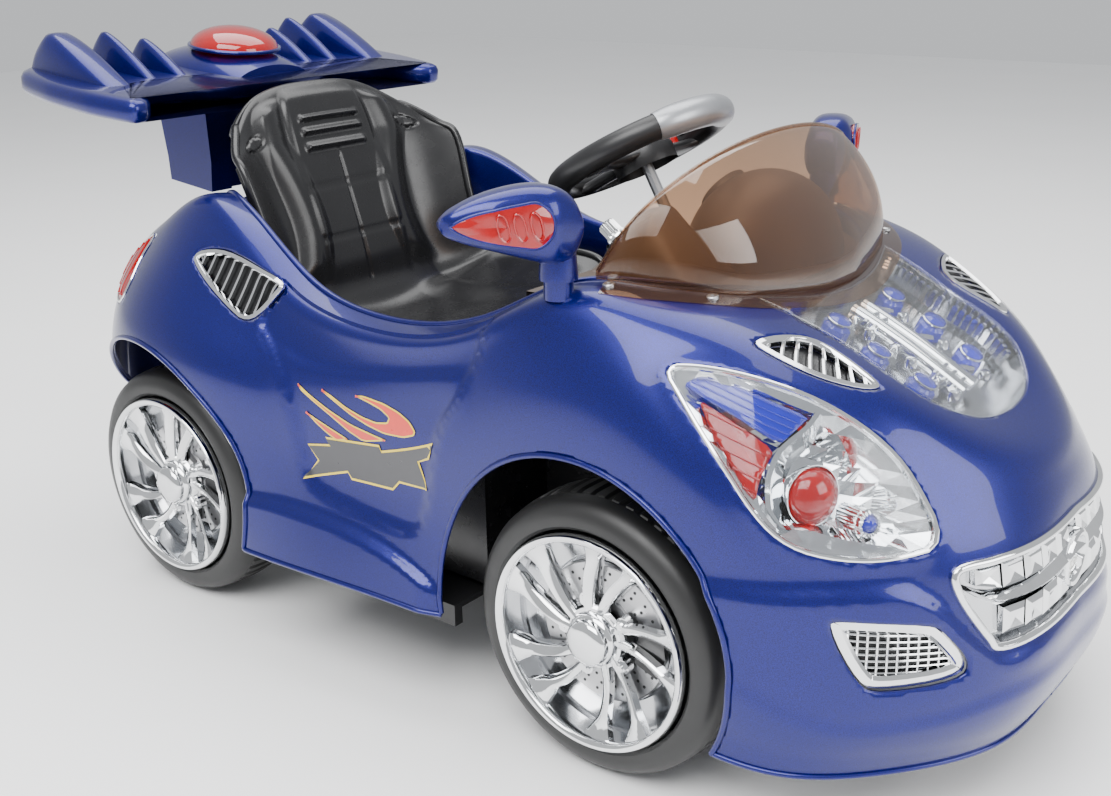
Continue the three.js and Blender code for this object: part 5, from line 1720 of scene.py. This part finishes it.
# ---------- windscreen ----------

SCREEN_FOOT = [
    (216, -194, 419), (240, -187, 418), (262, -176, 415), (289, -153, 410), (311, -122, 404),
    (326, -78, 399), (336, -30, 395), (338, 0, 394.5),
]


def screen_grid():
    right = np.array(SCREEN_FOOT, float)
    foot = rounded(np.vstack([right, (right * MIRROR_Y)[-2::-1]]), 8, closed=False)
    last = len(foot) - 1
    grid = []
    for t in np.linspace(0, 1, 25):
        row = []
        for k, spot in enumerate(foot):
            angle = math.pi * k / last
            sweep = math.sin(angle) ** 0.8 if 0 < k < last else 0
            edge = np.array([216 + 56 * sweep, -194 * math.cos(angle), 419 + 99 * sweep])
            outward = np.array([spot[0] - 200, 0.6 * spot[1], 30])
            outward /= np.linalg.norm(outward)
            row.append(spot + (edge - spot) * t + outward * 16 * 4 * t * (1 - t) * sweep)
        grid.append(row)
    return np.array(grid), foot


def windscreen():
    grid, foot = screen_grid()
    glass = make_mesh("screen_glass", *loft(grid[:, 1:-1]))
    made = piece("screen_glass", glass, BRONZE, "car", ["windscreen"], sharp=60)
    solidify(made, 2.0, offset=0)
    border = grid[-1, 1:-1]
    rim = make_mesh("screen_rim", *tube(border[::2], 1.7, sides=8))
    piece("screen_rim", rim, BRONZE, "car", sharp=60)
    flange = []
    for out, rise in ((-2, 2.2), (4, 1.4), (12, 0.9), (19, 0.7)):
        row = []
        for spot in foot[4:-4]:
            away = np.array([spot[0] - 190, 0.75 * spot[1], 0])
            away /= np.linalg.norm(away)
            x, y = (spot + away * out)[:2]
            row.append((x, y, skin_height(x, y) + rise))
        flange.append(row)
    mesh = make_mesh("screen_flange", *loft(flange))
    piece("screen_flange", mesh, BRONZE, "car", closed=False)
    head = [(5, -1), (5, 1.2), (4, 2), (1.4, 2), (1.2, 1), (0.1, 1)]
    screws = []
    for side in (-1, 1):
        for x, y in ((232, 196), (300, 152)):
            z = skin_height(x, y) + 1.2
            screws.append(turned_on((x, side * y, z), (0, 0.15 * side, 1), head, 24))
    piece("screen_screws", make_mesh("screen_screws", *gathered(screws)), STEEL, "car")


windscreen()


# ---------- dashboard ----------

KNOB_AT, KNOB_AXIS = np.array([163, -86, 423]), np.array([-0.8, 0, 0.6])


def dash_height(x, y):
    """The moulded top of the dashboard: a flat shelf, a big smooth cowl and a small one beside it."""
    shelf = 399.0
    big = 1 - ((x - 236) / 66) ** 2 - ((y - 38) / 88) ** 2
    cowl = 398 + 76 * np.sqrt(np.clip(big, 0, None))
    run = np.clip(np.interp(x, [148, 152, 186, 204, 264], [0, 6, 54, 58, 0]), 0, None)
    small = 398 + run * np.clip(1 - np.abs((y + 79) / 35) ** 3, 0, 1) ** 0.6
    lattice = plateau(y, -150, -122, 2) * plateau(x, 190, 262, 2)
    rows = np.sin((x - 190) * math.pi / 5.2) ** 2 > 0.35
    columns = np.sin((y + 150) * math.pi / 9.0) ** 2 > 0.3
    return np.maximum(np.maximum(shelf, cowl), small) - 3.5 * lattice * (rows & columns)


def dashboard():
    """The dashboard's top, out to the cockpit's edge and down to the legs."""
    plan = surface(*COCKPIT_EDGE.T)[:, :2]
    plan = plan[plan[:, 0] > 140]
    plan = plan[np.argsort(plan[:, 0])]
    rows = []
    for x in np.linspace(149, min(327, plan[:, 0].max() - 8), 110):
        reach = float(np.interp(x, plan[:, 0], -plan[:, 1])) - 6
        ys = np.linspace(-1, 1, 221) * max(reach, 4)
        rows.append([(x, y, 0) for y in ys])
    grid = np.array(rows)
    grid[..., 2] = dash_height(grid[..., 0], grid[..., 1])
    skirt = grid[0] * [1, 1, 0] + [0, 0, 386]
    mesh = make_mesh("dash_skin", *loft(np.concatenate([skirt[None], grid])))
    piece("dash_skin", mesh, DASH, "car", ["dashboard"], sharp=45)
    profile = [(24, -6), (24, 1), (22, 2.4), (20, 1), (20, -3), (0.1, -3)]
    bezel = turned_on((190, 38, 452), (-0.75, 0, 0.66), profile)
    piece("dash_bezel", make_mesh("dash_bezel", *bezel), DASH, "car")


def dash_knob():
    profile = [(9, 3.4), (9, 6), (8.2, 7), (8, 18), (7, 19.6), (4, 20), (0.1, 19.4)]
    knob = turned_on(KNOB_AT, KNOB_AXIS, profile, 96, 16, 0.06)
    piece("knob_cap", make_mesh("knob_cap", *knob), CHROME, "knob", ["dash_knob"])
    collar = turned_on(KNOB_AT, KNOB_AXIS, [(13.5, 0), (13.5, 2), (12, 3), (10, 3), (10, 0.5)], 48)
    piece("knob_collar", make_mesh("knob_collar", *collar), CHROME, "car")


dashboard()
dash_knob()


# ---------- decals ----------

FLAME_TONGUES = [
    [
        (6.12, 4.53), (6.26, 4.69), (6.46, 4.89), (6.69, 5.07), (6.93, 5.15), (7.08, 5.19), (6.81, 5.35),
        (6.65, 5.23), (6.46, 5.0), (6.28, 4.8), (6.16, 4.66),
    ],
    [
        (6.73, 4.41), (6.83, 4.35), (7.05, 4.4), (7.23, 4.52), (7.36, 4.68), (7.43, 4.86), (7.41, 4.95),
        (7.28, 5.04), (7.05, 5.07), (6.87, 5.0), (6.69, 4.87), (6.52, 4.68), (6.42, 4.57), (6.38, 4.49),
        (6.49, 4.56), (6.64, 4.72), (6.81, 4.83), (6.96, 4.87), (7.09, 4.81), (7.11, 4.7), (7.02, 4.57),
        (6.88, 4.48),
    ],
    [(6.2, 5.07), (6.34, 5.18), (6.52, 5.31), (6.65, 5.4), (6.52, 5.49), (6.42, 5.4), (6.32, 5.27)],
]
BANNER = [
    (6.2, 5.72), (6.44, 5.6), (6.4, 5.48), (6.98, 5.32), (7.0, 5.42), (7.66, 5.0), (7.6, 5.32),
    (7.46, 5.42), (7.56, 5.86), (7.2, 5.9), (7.12, 6.06), (6.66, 6.12), (6.62, 6.02), (6.16, 6.34),
    (6.3, 5.96),
]


def sticker(name, outline, lift, inset, material):
    edge = softened(outline, 1, 0.12) if name.startswith("flame") else rounded(np.array(outline), 1)
    if inset:
        edge = inset_edge(edge, inset)
    paired(name, patch(edge, lift, shaped=True), material)


def flame():
    """A plain flame with a bare banner under it, on each door."""
    for k, tongue in enumerate(FLAME_TONGUES):
        sticker(f"flame_{k}_edge", tongue, 0.7, 0, YELLOW)
        sticker(f"flame_{k}", tongue, 1.0, 1.6, RED_PAINT)
    sticker("banner_edge", BANNER, 0.7, 0, YELLOW)
    sticker("banner", BANNER, 1.0, 2.2, DARK_PAINT)


flame()


# ---------- the parts left as they came from CAD ----------

CARRIED = {
    "chassis": BLACK, "cockpit_tub": BLACK_FINE, "front_beam": BLACK, "rear_axle": STEEL,
    "gearbox_left": BLACK, "gearbox_right": BLACK, "motor_left": STEEL, "motor_right": STEEL,
    "battery": GREY, "control_box": BLACK, "pedal": GREY, "knuckle_left": BLACK,
    "knuckle_right": BLACK, "tie_rod": STEEL, "steering_shaft": STEEL, "direction_switch": RED,
    "spoiler_stand": PAINT,
}


def carried_over():
    """A made material on every node that is shown as it came from CAD."""
    for node, material in CARRIED.items():
        for slot in bpy.data.objects[node].material_slots:
            slot.material = material


carried_over()


# ---------- camera, floor and light ----------

CAMERA_AT = (0.84066, -1.02112, 0.68133)
CAMERA_AZIMUTH, CAMERA_ELEVATION, CAMERA_ROLL = (math.radians(a) for a in (38.832, 19.2835, -0.886))
LENS = 43.575


def camera():
    right = Vector((math.cos(CAMERA_AZIMUTH), math.sin(CAMERA_AZIMUTH), 0))
    level = Vector((math.sin(CAMERA_AZIMUTH), -math.cos(CAMERA_AZIMUTH), 0))
    back = level * math.cos(CAMERA_ELEVATION) + Vector((0, 0, math.sin(CAMERA_ELEVATION)))
    up = back.cross(right)
    turned_right = right * math.cos(CAMERA_ROLL) + up * math.sin(CAMERA_ROLL)
    turned_up = up * math.cos(CAMERA_ROLL) - right * math.sin(CAMERA_ROLL)
    data = bpy.data.cameras.new("camera")
    data.lens = LENS
    data.sensor_width = 36
    made = bpy.data.objects.new("camera", data)
    bpy.context.scene.collection.objects.link(made)
    made.matrix_world = Matrix((turned_right, turned_up, back)).transposed().to_4x4()
    made.location = CAMERA_AT
    bpy.context.scene.camera = made


def floor():
    material, tree, shader = new_material("pale_floor")
    mottled(tree, shader.inputs["Base Color"], 3, 0.3, 0.7, (0.93, 0.93, 0.93), (0.95, 0.95, 0.95))
    shader.inputs["Roughness"].default_value = 0.6
    made = bmesh.new()
    bmesh.ops.create_grid(made, x_segments=2, y_segments=2, size=6.0)
    mesh = bpy.data.meshes.new("floor")
    made.to_mesh(mesh)
    made.free()
    mesh.materials.append(material)
    ground = bpy.data.objects.new("floor", mesh)
    ground.location = (0, 0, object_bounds()[0][2] - 0.0005)
    bpy.context.scene.collection.objects.link(ground)
    ground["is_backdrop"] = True


def soft_light(name, place, target, size, power):
    data = bpy.data.lights.new(name, "AREA")
    data.shape = "RECTANGLE"
    data.size, data.size_y = size
    data.energy = power
    made = bpy.data.objects.new(name, data)
    made.location = place
    made.rotation_euler = (Vector(target) - Vector(place)).to_track_quat("-Z", "Y").to_euler()
    bpy.context.scene.collection.objects.link(made)


def studio():
    soft_light("key", (0.6, -1.8, 2.6), (0, 0, 0.2), (2.6, 1.8), 150)
    soft_light("top", (-0.4, 0.6, 3.0), (0, 0, 0.2), (3.2, 2.4), 120)
    soft_light("nose", (3.0, 0.2, 1.4), (0.2, 0, 0.2), (1.6, 1.6), 55)
    world = bpy.data.worlds.new("studio")
    world.use_nodes = True
    background = world.node_tree.nodes["Background"]
    background.inputs["Color"].default_value = (0.95, 0.97, 1.0, 1)
    background.inputs["Strength"].default_value = 0.68
    bpy.context.scene.world = world


camera()
floor()
studio()
